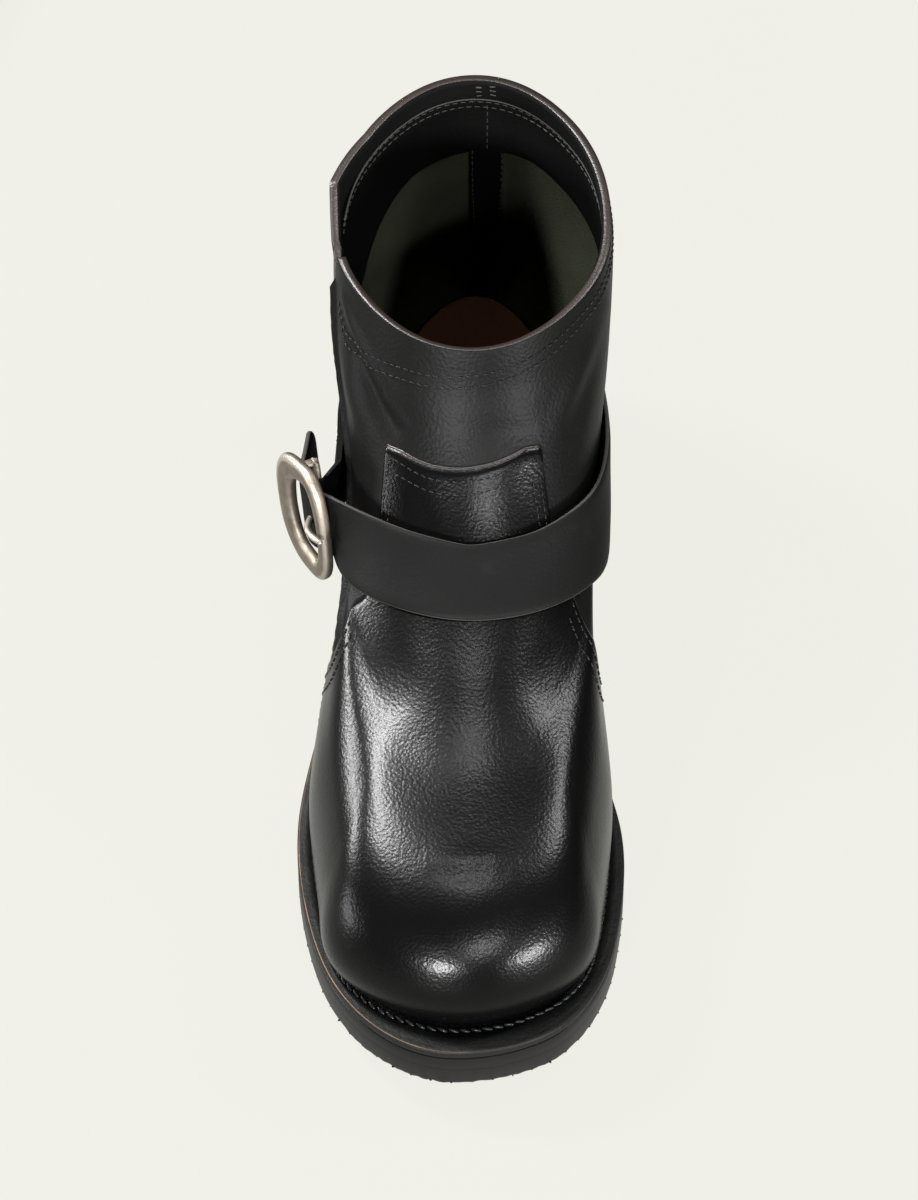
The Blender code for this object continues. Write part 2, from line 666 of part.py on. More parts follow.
# Tail of the chape on the shaft: share of the sole length from the toe, share of the collar height,
# half thickness and middle above the last in metres
CHAPE_TAIL = [
    (0.7228, 0.5017, 0.00110, 0.00160),
    (0.7018, 0.5083, 0.00110, 0.00160),
    (0.6807, 0.5150, 0.00110, 0.00160),
    (0.6596, 0.5223, 0.00110, 0.00160),
    (0.6386, 0.5296, 0.00110, 0.00195),
    (0.6193, 0.5362, 0.00095, 0.00300),
    (0.6018, 0.5422, 0.00070, 0.00390),
]


def chape_rows(widths):
    """Rows of the chape from its sewn end round the bar: middle points, outward directions, half thicknesses."""
    _, along, across, _ = buckle_axes()
    places = np.array([side_of_form(row[0], row[1]) for row in CHAPE_TAIL])
    line = form_point(places[:, 0], places[:, 1])
    way = np.gradient(line, axis=0)
    way /= np.linalg.norm(way, axis=1, keepdims=True)
    side = across - way * (way @ across)[:, None]
    side /= np.linalg.norm(side, axis=1, keepdims=True)
    lift = np.array([row[3] for row in CHAPE_TAIL])
    tail, tail_out = [], []
    for width in widths:
        at, out = walk_on_form(places[:, 0], places[:, 1], way, side, np.full(len(places), width))
        tail.append(at + out * lift[:, None])
        tail_out.append(out)
    radius = BAR_RADIUS + FIT_GAP + CHAPE_THICK / 2.0
    inward = np.array([1.0, 0.0, 0.0]) - across * across[0]
    inward /= np.linalg.norm(inward)
    back = np.cross(across, inward)
    back = back if back[1] > 0.0 else -back
    turn = np.radians(np.linspace(12.0, 262.0, 13))
    away = np.cos(turn)[:, None] * inward - np.sin(turn)[:, None] * back
    bar = buckle_point(0.0, 0.0, -BAR_DROP)
    hook = np.stack([bar + radius * away + across * width for width in widths], 1)
    hook_out = np.repeat(-away[:, None, :], len(widths), 1)
    half = np.array([row[2] for row in CHAPE_TAIL] + [CHAPE_THICK / 2.0] * len(turn))
    return np.concatenate([np.stack(tail, 1), hook]), np.concatenate([np.stack(tail_out, 1), hook_out]), half


def build_chape(material):
    """Strip folded round the bar and laid back along the shaft, slotted for the prong."""
    widths = (STRAP_WIDTH + 0.0006) * np.array([-0.5, -0.25, 0.0, 0.25, 0.5])
    middle, outward, half = chape_rows(widths)
    chape = add_strip("chape", middle, outward * half[:, None, None], 2.0, material)
    corners = [buckle_point(u, w, n) for u in (-0.0045, 0.0042) for w in (-0.0023, 0.0023) for n in (-0.0105, 0.0)]
    faces = [(0, 1, 3, 2), (4, 6, 7, 5), (0, 4, 5, 1), (2, 3, 7, 6), (0, 2, 6, 4), (1, 5, 7, 3)]
    combine(chape, add_cutter("prong_slot", corners, faces), "DIFFERENCE")
    return chape


def build_prong(material):
    """Tongue of the buckle: an eye round the bar and a rod resting on the front of the frame."""
    inner = BAR_RADIUS + FIT_GAP
    outer = inner + PRONG_RADIUS
    turn = np.linspace(0.0, 2.0 * math.pi, 20, endpoint=False)
    loops = []
    for radius, w in ((outer, -0.0017), (outer, 0.0017), (inner, 0.0017), (inner, -0.0017)):
        loops.append(buckle_point(radius * np.cos(turn), w, radius * np.sin(turn) - BAR_DROP))
    eye = add_object("prong", np.concatenate(loops), joined_loops(loops, True), material)
    lift = BUCKLE_THICK / 2.0 + FIT_GAP + PRONG_RADIUS
    front = -BUCKLE_LENGTH / 2.0
    path = [
        buckle_point(-0.0004, 0.0, -BAR_DROP + inner + 0.0008),
        buckle_point(-0.0016, 0.0, -0.0012),
        buckle_point(-0.0040, 0.0, 0.0016),
        buckle_point(-0.0068, 0.0, lift * 0.97),
        buckle_point(front + 0.0026, 0.0, lift + 0.0002),
        buckle_point(front - 0.0008, 0.0, lift - 0.0002),
    ]
    radii = [PRONG_RADIUS * share for share in (0.91, 1.0, 1.0, 1.0, 1.0, 0.82)]
    rod = add_rod("prong_rod", path, radii, 12, CUT_MATERIAL, True)
    combine(eye, rod, "UNION")
    return eye


for old in list(bpy.data.objects):
    bpy.data.objects.remove(old, do_unlink=True)

PART = new_collection("engineer_bootie")
CUTTERS = new_collection("cutters")
CUTTERS.hide_render = True
CUT_MATERIAL = leather_material("cutter", (0.5, 0.5, 0.5), 0.5)

BLACK_LEATHER = leather_material("black_leather", (0.018, 0.017, 0.017), 0.42)
STRAP_LEATHER = leather_material("strap_leather", (0.016, 0.016, 0.016), 0.5)
WELT_LEATHER = leather_material("welt_leather", (0.020, 0.018, 0.017), 0.5)
BLACK_RUBBER = leather_material("black_rubber", (0.022, 0.022, 0.022), 0.6)
TAN_LEATHER = leather_material("tan_leather", (0.20, 0.11, 0.06), 0.65)
OLD_SILVER = metal_material("antique_silver", (0.46, 0.42, 0.37), 0.38)

build_upper(BLACK_LEATHER)
build_strap(STRAP_LEATHER)
build_chape(STRAP_LEATHER)
build_buckle(OLD_SILVER)
build_prong(OLD_SILVER)
build_welt(WELT_LEATHER)
build_midsole(BLACK_RUBBER)
build_outsole(BLACK_RUBBER)
build_heel_stack(BLACK_RUBBER)
build_heel_lift(BLACK_RUBBER)
build_insole(TAN_LEATHER)
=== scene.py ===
# Black pull-on ankle boot with an engineer strap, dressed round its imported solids.
# The right boot: toe towards -Y, the medial side towards +X, standing on z = 0.
import math

import bmesh
import bpy
import numpy as np
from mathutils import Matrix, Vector


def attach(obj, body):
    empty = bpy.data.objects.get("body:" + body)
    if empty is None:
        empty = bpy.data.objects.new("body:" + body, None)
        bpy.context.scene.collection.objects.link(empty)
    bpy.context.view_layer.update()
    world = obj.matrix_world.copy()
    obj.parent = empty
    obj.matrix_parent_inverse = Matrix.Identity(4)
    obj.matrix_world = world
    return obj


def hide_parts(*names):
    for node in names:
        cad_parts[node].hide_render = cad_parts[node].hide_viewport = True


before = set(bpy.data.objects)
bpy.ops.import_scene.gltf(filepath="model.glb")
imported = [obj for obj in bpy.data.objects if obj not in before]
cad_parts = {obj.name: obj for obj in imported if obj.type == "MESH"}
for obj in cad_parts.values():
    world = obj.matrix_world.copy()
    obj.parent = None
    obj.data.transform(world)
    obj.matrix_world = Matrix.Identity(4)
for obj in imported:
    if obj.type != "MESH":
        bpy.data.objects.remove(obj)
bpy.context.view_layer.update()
scene = bpy.context.scene

# Camera
# A long lens looks down at the toe and into the collar from the front, at the angle of the photo.
# It stands far off, so that the boot tapers little.
LOOK_DOWN = math.radians(55.0)
LOOK_ASIDE = math.radians(-1.6)
LOOK_AT = Vector((-0.0015, -0.1255, 0.084))
CAMERA_DISTANCE = 1.8

look = Vector((
    math.sin(LOOK_ASIDE) * math.cos(LOOK_DOWN),
    math.cos(LOOK_ASIDE) * math.cos(LOOK_DOWN),
    -math.sin(LOOK_DOWN),
))
camera_data = bpy.data.cameras.new("camera")
camera_data.sensor_fit = "VERTICAL"
camera_data.sensor_height = 24.0
camera_data.lens = 117.6
camera_data.clip_start = 0.05
camera_data.clip_end = 50.0
camera = bpy.data.objects.new("camera", camera_data)
scene.collection.objects.link(camera)
camera.rotation_mode = "QUATERNION"
camera.location = LOOK_AT - look * CAMERA_DISTANCE
camera.rotation_quaternion = look.to_track_quat("-Z", "Y")
scene.camera = camera
scene.view_settings.view_transform = "Standard"


# Floor and studio light
# A pale glowing floor that dims outside the picture, in a dim white room. Soft boxes stand behind the boot on
# both sides, overhead, in front and at its outer side, with a low card on the left and two small lamps for
# the bright spots on the toe.
class Wire:
    """A node socket that takes part in Python expressions."""

    def __init__(self, tree, socket):
        self.tree = tree
        self.socket = socket

    def maths(self, operation, other=0.0, flip=False):
        node = self.tree.nodes.new("ShaderNodeMath")
        node.operation = operation
        for index, value in enumerate((other, self) if flip else (self, other)):
            if isinstance(value, Wire):
                self.tree.links.new(value.socket, node.inputs[index])
            else:
                node.inputs[index].default_value = value
        return Wire(self.tree, node.outputs[0])

    def __add__(self, other):
        return self.maths("ADD", other)

    def __radd__(self, other):
        return self.maths("ADD", other)

    def __sub__(self, other):
        return self.maths("SUBTRACT", other)

    def __rsub__(self, other):
        return self.maths("SUBTRACT", other, True)

    def __mul__(self, other):
        return self.maths("MULTIPLY", other)

    def __rmul__(self, other):
        return self.maths("MULTIPLY", other)


class Finish:
    """A material being put together from nodes round one main shader."""

    def __init__(self, name):
        self.material = bpy.data.materials.new(name)
        self.material.use_nodes = True
        self.tree = self.material.node_tree
        self.shader = self.tree.nodes["Principled BSDF"]

    def node(self, kind, settings=None, sockets=None, output=0):
        """Any node: its settings first, then the values or wires of its sockets."""
        made = self.tree.nodes.new(kind)
        for key, value in (settings or {}).items():
            setattr(made, key, value)
        for key, value in (sockets or {}).items():
            if isinstance(value, Wire):
                self.tree.links.new(value.socket, made.inputs[key])
            else:
                made.inputs[key].default_value = value
        return Wire(self.tree, made.outputs[output])

    def place(self):
        return self.node("ShaderNodeTexCoord", output="Object")

    def axis(self, letter):
        return self.node("ShaderNodeSeparateXYZ", sockets={"Vector": self.place()}, output=letter)

    def noise(self, scale, detail=3.0, rough=0.55):
        sockets = {"Vector": self.place(), "Scale": scale, "Detail": detail, "Roughness": rough}
        return self.node("ShaderNodeTexNoise", sockets=sockets, output="Fac")

    def cells(self, scale):
        """Rounded cells, dark in their middles, as the pebbles of leather."""
        sockets = {"Vector": self.place(), "Scale": scale, "Randomness": 1.0}
        return self.node("ShaderNodeTexVoronoi", {"feature": "SMOOTH_F1"}, sockets, "Distance")

    def mixed(self, share, first, second):
        """Colour between two colours by a share."""
        sockets = {0: share}
        for key, value in ((6, first), (7, second)):
            sockets[key] = value if isinstance(value, Wire) else (*value, 1.0)
        return self.node("ShaderNodeMix", {"data_type": "RGBA"}, sockets, 2)

    def ramp(self, value, low, high):
        """0 at or under low, 1 at or over high, straight between."""
        sockets = {0: value, 1: low, 2: high, 3: 0.0, 4: 1.0}
        return self.node("ShaderNodeMapRange", sockets=sockets)

    def attribute(self, name):
        return self.node("ShaderNodeAttribute", {"attribute_name": name}, output="Fac")

    def bump(self, height, distance, strength):
        sockets = {"Height": height, "Distance": distance, "Strength": strength}
        return self.node("ShaderNodeBump", sockets=sockets)

    def set(self, **values):
        """Values or wires of the main shader's sockets, named with underscores for spaces."""
        for key, value in values.items():
            socket = self.shader.inputs[key.replace("_", " ")]
            if isinstance(value, Wire):
                self.tree.links.new(value.socket, socket)
            elif isinstance(value, tuple) and len(value) == 3:
                socket.default_value = (*value, 1.0)
            else:
                socket.default_value = value
        return self.material


# The bright part of the floor: its half width and half length, and how far its middle lies in front
FLOOR_HALF_WIDTH = 0.178
FLOOR_HALF_LENGTH = 0.37
FLOOR_AHEAD = 0.125
FLOOR_GLOW = (0.828, 0.828, 0.765)
FAR_GLOW = (0.20, 0.20, 0.19)


def floor_material():
    """Pale paper that glows evenly round the boot and dims outside the picture, to keep its sides dark."""
    finish = Finish("pale_floor")
    grain = finish.noise(900.0)
    colour = finish.mixed(grain, (0.0038, 0.0038, 0.0036), (0.0042, 0.0042, 0.0040))
    aside = finish.axis("X") * (1.0 / FLOOR_HALF_WIDTH)
    along = (finish.axis("Y") + FLOOR_AHEAD) * (1.0 / FLOOR_HALF_LENGTH)
    away = aside * aside * aside * aside + along * along * along * along
    glow = finish.mixed(finish.ramp(away, 1.0, 8.0), FLOOR_GLOW, FAR_GLOW)
    return finish.set(
        Base_Color=colour, Roughness=0.95, Specular_IOR_Level=0.1, Emission_Color=glow, Emission_Strength=1.0
    )


def add_piece(name, mesh):
    """Puts a mesh into the scene as an object at the origin."""
    piece = bpy.data.objects.new(name, mesh)
    scene.collection.objects.link(piece)
    return piece


def soft_light(name, place, width, height, power):
    """A soft box that faces the middle of the boot."""
    data = bpy.data.lights.new(name, "AREA")
    data.shape = "RECTANGLE"
    data.size = width
    data.size_y = height
    data.energy = power
    light = add_piece(name, data)
    light.location = place
    light.rotation_mode = "QUATERNION"
    light.rotation_quaternion = (LIT_MIDDLE - Vector(place)).to_track_quat("-Z", "Y")


floor_mesh = bpy.data.meshes.new("floor")
floor_mesh.from_pydata([(-6, -6, 0), (6, -6, 0), (6, 6, 0), (-6, 6, 0)], [], [(0, 1, 2, 3)])
floor_mesh.materials.append(floor_material())
floor = add_piece("floor", floor_mesh)

world = bpy.data.worlds.new("room")
world.use_nodes = True
world.node_tree.nodes["Background"].inputs["Color"].default_value = (1.0, 0.995, 0.985, 1.0)
world.node_tree.nodes["Background"].inputs["Strength"].default_value = 0.015
scene.world = world

LIT_MIDDLE = Vector((0.0, -0.13, 0.07))

# Each lamp: name, place, width and height in metres, power in watts
LAMPS = [
    ("left_box", (-0.80, 0.34, 1.42), 0.22, 0.34, 92.0),
    ("right_box", (0.93, 0.29, 1.39), 0.13, 0.32, 26.0),
    ("top_box", (0.02, -0.02, 1.76), 0.40, 0.05, 14.0),
    ("arc_box", (0.36, -1.25, 0.95), 0.46, 0.10, 18.0),
    ("left_spot", (-0.34, -1.62, 0.49), 0.17, 0.17, 76.0),
    ("right_spot", (1.10, -1.24, 0.30), 0.17, 0.17, 60.0),
    ("side_box", (-1.40, 0.40, 0.48), 0.24, 0.30, 38.0),
    ("left_card", (-0.95, -0.30, 0.08), 0.30, 0.16, 5.0),
]
for name, place, width, height, power in LAMPS:
    soft_light(name, place, width, height, power)


# Upper
# The black leather upper: a shaft with a deep notch on the outer side, a vamp whose square tab laps over
# the shaft, a turned hem at the collar, a black facing under it and a green suede lining with a back strip.
SOLE_LENGTH = 0.285
BALL_WIDTH = 0.101
COLLAR_HEIGHT = 0.1505
SEAT_HEIGHT = 0.043
HEEL_BACK_Y = 0.031
WALL = 0.0022
VAMP_STEP = 0.0013
FACING_THICK = 0.0003
HEM_THICK = 0.0006
BACK_STRIP_THICK = 0.0006
RIM_ROUND = 0.0007

# Raised side seam: place and half width in degrees, height in metres
SEAM_DEGREES = -77.0
SEAM_HALF = 1.6
SEAM_HEIGHT = 0.0016
FLARE_HEIGHT = 0.0032
CREST_HEIGHT = 0.0030

# Top of the sole: share of the length from the toe, share of the seat height
SOLE_TOP = [(0.000, 0.686), (0.158, 0.500), (0.333, 0.430), (0.526, 0.640), (0.719, 0.930), (1.000, 1.000)]

# Leaning rings of the last: place and height of front and back with their shifts, half widths at the stations
STATIONS = (0.05, 0.14, 0.30, 0.52, 0.78, 0.94)
UPPER_RINGS = [
    (0.0463, 0.182, 0.010, 0.979, 0.286, 0.000, (0.312, 0.401, 0.431, 0.342, 0.307, 0.203)),
    (0.0316, 0.256, 0.010, 0.986, 0.359, 0.000, (0.327, 0.416, 0.450, 0.361, 0.332, 0.213)),
    (0.0386, 0.329, 0.015, 0.991, 0.439, 0.000, (0.317, 0.401, 0.436, 0.371, 0.342, 0.218)),
    (0.0702, 0.399, 0.020, 0.991, 0.512, 0.005, (0.277, 0.361, 0.401, 0.371, 0.342, 0.218)),
    (0.1474, 0.439, 0.025, 0.986, 0.578, 0.005, (0.223, 0.307, 0.371, 0.376, 0.342, 0.213)),
    (0.2632, 0.472, 0.025, 0.979, 0.635, 0.005, (0.168, 0.267, 0.351, 0.386, 0.347, 0.208)),
    (0.3754, 0.538, 0.020, 0.974, 0.691, 0.005, (0.158, 0.257, 0.347, 0.396, 0.351, 0.208)),
    (0.4737, 0.638, 0.015, 0.974, 0.751, 0.005, (0.173, 0.282, 0.371, 0.411, 0.356, 0.208)),
    (0.5404, 0.751, 0.005, 0.977, 0.824, 0.005, (0.183, 0.297, 0.391, 0.421, 0.356, 0.203)),
    (0.5860, 0.864, 0.000, 0.984, 0.917, 0.005, (0.186, 0.297, 0.396, 0.426, 0.354, 0.198)),
    (0.6175, 0.980, 0.000, 0.989, 1.000, 0.000, (0.181, 0.292, 0.396, 0.419, 0.337, 0.188)),
]

# Sideways bend of the low rings: share of the way back, shift as a share of the ball width
FOOT_BOW = [(0.0, 0.0), (0.14, 0.005), (0.30, -0.008), (0.52, -0.020), (0.78, 0.0), (1.0, 0.0)]

# Top edge of the collar and upper edge of the vamp: angle round the boot in degrees, ring number
COLLAR_EDGE = [(-180, 10.0), (-100, 10.0), (-82, 8.35), (-79, 8.35), (-72, 9.80), (-69, 10.0), (180, 10.0)]
VAMP_EDGE = [
    (-180, 0.3), (-92, 0.3), (-85, 1.2), (-74, 3.5), (-66, 4.8), (-50, 5.9), (-42, 6.9), (-37.6, 7.6),
    (-36, 7.95), (-29, 8.03), (-16, 8.05), (-2, 8.10), (11, 8.15), (24, 8.20), (31, 8.10),
    (32.6, 7.6), (37, 6.9), (47, 6.1), (56, 5.5), (69, 4.2), (80, 2.2), (88, 0.8), (92, 0.3), (180, 0.3),
]

# Lower edge of the black facing inside the collar: angle in degrees, ring number
FACING_EDGE = [
    (-180, 7.8), (-160, 7.65), (-150, 7.6), (-140, 7.35), (-130, 7.0), (-120, 6.6), (-80, 6.2), (0, 8.6),
    (80, 8.0), (114, 8.05), (127, 7.95), (142, 7.9), (154, 7.95), (164, 7.9), (180, 7.8),
]

# Folds of the shaft and the vamp: two ends as ring and degrees, half width and height in metres
FOLDS = [
    ((9.45, -63), (8.50, -29), 0.0024, 0.0015),
    ((8.95, -54), (8.25, -34), 0.0034, -0.0015),
    ((8.35, -63), (7.75, -50), 0.0060, 0.0013),
    ((8.35, -40), (8.45, 22), 0.0040, -0.0007),
    ((8.75, -30), (8.80, 25), 0.0055, 0.0006),
    ((8.3, 40), (8.9, 62), 0.0050, 0.0009),
    ((7.8, 44), (8.5, 60), 0.0045, -0.0008),
    ((9.6, 60), (8.6, 78), 0.0050, 0.0007),
    ((3.95, -11), (3.93, 15), 0.0030, 0.00045),
    ((3.84, -10), (3.82, 14), 0.0012, -0.00035),
    ((5.2, -30), (4.6, -36), 0.0070, 0.0003),
    ((5.4, 28), (4.5, 36), 0.0070, 0.0003),
    ((7.6, -24), (7.2, -14), 0.0030, -0.0004),
]


def place_y(share):
    """Y of a share of the sole length from the toe."""
    return HEEL_BACK_Y - SOLE_LENGTH * (1.0 - share)


def share_of(y):
    return 1.0 - (HEEL_BACK_Y - y) / SOLE_LENGTH


def spline(knots, values, x):
    """Smooth curve through the values at the knots; the last axis of values may hold several curves."""
    knots = np.asarray(knots, float)
    values = np.asarray(values, float)
    x = np.asarray(x, float)
    slopes = np.gradient(values, knots, axis=0)
    low = np.clip(np.searchsorted(knots, x, side="right") - 1, 0, len(knots) - 2)
    step = knots[low + 1] - knots[low]
    s = (x - knots[low]) / step
    if values.ndim > 1:
        step = step[..., None]
        s = s[..., None]
    start = (2 * s**3 - 3 * s**2 + 1) * values[low] + (s**3 - 2 * s**2 + s) * step * slopes[low]
    end = (3 * s**2 - 2 * s**3) * values[low + 1] + (s**3 - s**2) * step * slopes[low + 1]
    return start + end


def spline_each(knots, values, x):
    """The same curve for rows of values, one row for each x."""
    knots = np.asarray(knots, float)
    slopes = np.gradient(values, knots, axis=1)
    low = np.clip(np.searchsorted(knots, x, side="right") - 1, 0, len(knots) - 2)
    step = knots[low + 1] - knots[low]
    s = (x - knots[low]) / step
    row = np.arange(len(x))
    start = (2 * s**3 - 3 * s**2 + 1) * values[row, low] + (s**3 - 2 * s**2 + s) * step * slopes[row, low]
    end = (3 * s**2 - 2 * s**3) * values[row, low + 1] + (s**3 - s**2) * step * slopes[row, low + 1]
    return start + end


def table_line(table, x):
    return np.interp(x, [row[0] for row in table], [row[1] for row in table])


def smooth_line(table, x, column=1):
    return spline([row[0] for row in table], [row[column] for row in table], x)


def round_end(share):
    """Fullness of a rounded outline, 0 at both ends and 1 in the middle."""
    return 2.0 * np.sqrt(np.clip(share * (1.0 - share), 0.0, None))


def sole_top(share):
    return SEAT_HEIGHT * smooth_line(SOLE_TOP, share)


def form_point(ring, angle):
    """Outer surface of the last: ring number from the feather line, angle round it in radians."""
    ring, angle = np.broadcast_arrays(np.asarray(ring, float), np.asarray(angle, float))
    shape = ring.shape
    ring = ring.reshape(-1)
    angle = (angle.reshape(-1) + math.pi) % (2.0 * math.pi) - math.pi
    full = [[width / round_end(np.array(at)) for width, at in zip(row[6], STATIONS)] for row in UPPER_RINGS]
    rows = np.array([list(row[:6]) + wide for row, wide in zip(UPPER_RINGS, full)])
    here = spline(np.arange(len(UPPER_RINGS)), rows, ring)
    share = (1.0 - np.cos(angle)) / 2.0
    front_at, front_up, front_shift, back_at, back_up, back_shift = here[:, :6].T
    at = front_at + (back_at - front_at) * share
    up = COLLAR_HEIGHT * (front_up + (back_up - front_up) * share)
    straight = sole_top(front_at) + (sole_top(back_at) - sole_top(front_at)) * share
    up = up + (sole_top(at) - straight) * np.clip(1.0 - ring / 5.0, 0.0, 1.0) ** 1.5
    knots = np.array((0.0,) + STATIONS + (1.0,))
    widths = np.concatenate([here[:, 6:7], here[:, 6:], here[:, -1:]], axis=1)
    half = spline_each(knots, widths, share) * round_end(share)
    bow = smooth_line(FOOT_BOW, share) * np.clip(1.0 - ring / 6.0, 0.0, 1.0)
    shift = front_shift + (back_shift - front_shift) * share
    x = BALL_WIDTH * (np.sign(angle) * half + bow + shift)
    return np.stack([x, place_y(at), up], -1).reshape(shape + (3,))


def form_normal(ring, angle):
    """Unit normal of the last, pointing out."""
    reach = 0.02
    along = form_point(ring, angle + reach) - form_point(ring, angle - reach)
    rise = form_point(ring + reach, angle) - form_point(np.maximum(ring - reach, 0.0), angle)
    normal = np.cross(along, rise)
    return normal / np.linalg.norm(normal, axis=-1, keepdims=True)


def ripple(points, size, seed):
    """Soft random height between -1 and 1 at points, with bumps of about the size given in metres."""
    rng = np.random.default_rng(seed)
    total = np.zeros(len(points))
    for _ in range(14):
        way = rng.normal(size=3)
        way *= rng.uniform(0.6, 1.5) / np.linalg.norm(way) / size * math.pi
        total += np.sin(points @ way + rng.uniform(0.0, 2.0 * math.pi))
    return total / 14.0 * 1.6


def fold_height(ring, angle, point):
    """Height of the soft folds: each a ridge or trough along a line on the form, fading at its ends."""
    height = np.zeros(len(ring))
    for first, last, half, rise in FOLDS:
        a = form_point(np.array([first[0]]), np.radians([first[1]]))[0]
        b = form_point(np.array([last[0]]), np.radians([last[1]]))[0]
        line = b - a
        along = np.clip(((point - a) @ line) / (line @ line), 0.0, 1.0)
        gap = np.linalg.norm(point - (a + along[:, None] * line), axis=1)
        fade = np.sin(np.pi * (0.12 + 0.76 * along))
        height += rise * fade * np.exp(-((gap / half) ** 2))
    return height


def seam_and_flare(ring, degrees):
    """The raised side seam with its rough edges, and the corner that stands out beside the notch."""
    rough = 0.25 * np.sin(ring * 23.0) + 0.25 * np.sin(ring * 61.0 + 1.3)
    gap = np.abs(degrees - SEAM_DEGREES + 0.3 * rough)
    seam = np.clip(1.0 - (gap - SEAM_HALF) / 0.9, 0.0, 1.0) * SEAM_HEIGHT * (0.85 + 0.3 * rough)
    corner = np.clip(1.0 + (degrees + 99.0) / 24.0, 0.0, 1.0) * (degrees < -90.0)
    flare = corner * np.clip((ring - 8.6) / 1.4, 0.0, 1.0) ** 1.5 * FLARE_HEIGHT
    return seam, flare


def crown_height(ring, degrees):
    """The rounded crest along the middle of the vamp, fading towards the toe and under the strap."""
    along = np.clip((ring - 2.7) / 1.1, 0.0, 1.0) * np.clip((6.9 - ring) / 1.2, 0.0, 1.0)
    smooth = along * along * (3.0 - 2.0 * along)
    return smooth * CREST_HEIGHT * np.clip(1.0 - ((degrees - 2.0) / 62.0) ** 2, 0.0, 1.0) ** 2


def outer_wall(ring, angle, step):
    """Points of the outer face with the lap's step, the side seam, the folds and a slight waviness."""
    degrees = np.degrees(angle)
    seam, flare = seam_and_flare(ring, degrees)
    point = form_point(ring, angle)
    low = np.clip(ring / 0.8, 0.0, 1.0)
    soft = fold_height(ring, angle, point) + crown_height(ring, degrees) + 0.00006 * ripple(point, 0.016, 4)
    rise = np.maximum(step, seam) + flare + soft * low
    point = point + form_normal(ring, angle) * rise[:, None]
    floor_line = sole_top(share_of(point[:, 1])) + 0.0003
    point[:, 2] = np.where(ring <= 0.0, floor_line, np.maximum(point[:, 2], floor_line))
    return point


def turn_outwards(mesh):
    work = bmesh.new()
    work.from_mesh(mesh)
    bmesh.ops.recalc_face_normals(work, faces=work.faces)
    work.to_mesh(mesh)
    work.free()


def mark_edge(mesh, values):
    """Keeps at each point how far it is a cut or rubbed edge, for the finish to read."""
    layer = mesh.attributes.new("edge", "FLOAT", "POINT")
    layer.data.foreach_set("value", np.asarray(values, np.float32).reshape(-1))


def shell_mesh(name, loops, closed, materials, slots=None, edge=None):
    """Mesh of closed loops of equal length; closed joins the last loop to the first as well."""
    count = len(loops[0])
    points = np.concatenate(loops)
    pairs = len(loops) if closed else len(loops) - 1
    k = np.repeat(np.arange(pairs), count)
    i = np.tile(np.arange(count), pairs)
    j = (i + 1) % count
    after = (k + 1) % len(loops)
    faces = np.stack([k * count + i, k * count + j, after * count + j, after * count + i], 1)
    mesh = bpy.data.meshes.new(name)
    mesh.from_pydata(points.tolist(), [], faces.tolist())
    for material in materials:
        mesh.materials.append(material)
    if slots is not None:
        mesh.polygons.foreach_set("material_index", slots.reshape(-1))
    if edge is not None:
        mark_edge(mesh, edge)
    turn_outwards(mesh)
    mesh.shade_smooth()
    return mesh


def leather_finish(name, tone, gloss, grain_size, grain_depth, edge=None, shine=0.08):
    """Finished black calf: fine round pebbles with small creases, a little colour drift, uneven gloss."""
    finish = Finish(name)
    pebbles = finish.cells(1.0 / grain_size)
    fine = finish.noise(2.2 / grain_size, 4.0, 0.6)
    broad = finish.noise(22.0, 4.0, 0.55)
    scuff = finish.ramp(finish.noise(70.0, 6.0, 0.7), 0.58, 0.75)
    colour = finish.mixed(broad, tuple(0.75 * c for c in tone), tuple(1.3 * c for c in tone))
    colour = finish.mixed(scuff * 0.35, colour, tuple(2.6 * c for c in tone))
    if edge is not None:
        worn = finish.ramp(finish.attribute("edge") + 0.25 * fine, 0.75, 1.1)
        colour = finish.mixed(worn, colour, edge)
    roughness = gloss + 0.06 * broad + 0.06 * scuff - 0.04 * fine
    normal = finish.bump(pebbles + 0.4 * fine, grain_depth, 0.6)
    return finish.set(Base_Color=colour, Roughness=roughness, Normal=normal, Specular_IOR_Level=shine)


def lining_finish():
    """Dark green suede: short nap in soft cloudy patches."""
    finish = Finish("green_suede_lining")
    nap = finish.noise(2600.0, 3.0, 0.6)
    cloud = finish.noise(60.0, 4.0, 0.6)
    colour = finish.mixed(cloud, (0.0072, 0.0080, 0.0046), (0.0170, 0.0187, 0.0118))
    colour = finish.mixed(finish.ramp(nap, 0.55, 0.75) * 0.4, colour, (0.026, 0.029, 0.020))
    normal = finish.bump(nap, 0.0004, 0.7)
    return finish.set(Base_Color=colour, Roughness=0.95, Normal=normal, Specular_IOR_Level=0.05)


COLUMNS = 324
ROWS_BELOW = 84
ROWS_ABOVE = 62
ROWS_INSIDE = 80

VAMP_LEATHER = leather_finish("vamp_leather", (0.0009, 0.0009, 0.0009), 0.255, 0.0009, 0.00011)
SHAFT_LEATHER = leather_finish("shaft_leather", (0.0020, 0.0020, 0.00195), 0.44, 0.0010, 0.00016, shine=0.045)
# Reddish cut edge at the collar rim and the vamp's edge: partly the leather's own edge colour, partly painted
# highlight, its tone raised to show a bright line along the rim.
CUT_EDGE_AND_HIGHLIGHT = leather_finish("cut_edge_and_painted_highlight", (0.0095, 0.0068, 0.0058), 0.38, 0.0006, 0.00012, shine=0.26)
FACING_LEATHER = leather_finish(
    "facing_leather", (0.0008, 0.0008, 0.00077), 0.70, 0.0012, 0.00015, shine=0.035
)
LINING = lining_finish()

turn = np.linspace(-math.pi, math.pi, COLUMNS, endpoint=False)
turn_degrees = np.degrees(turn)
collar_top = table_line(COLLAR_EDGE, turn_degrees)
vamp_top = np.minimum(table_line(VAMP_EDGE, turn_degrees), collar_top - 0.5)
lap = VAMP_STEP * np.clip((vamp_top - 0.3) / 0.9, 0.0, 1.0)

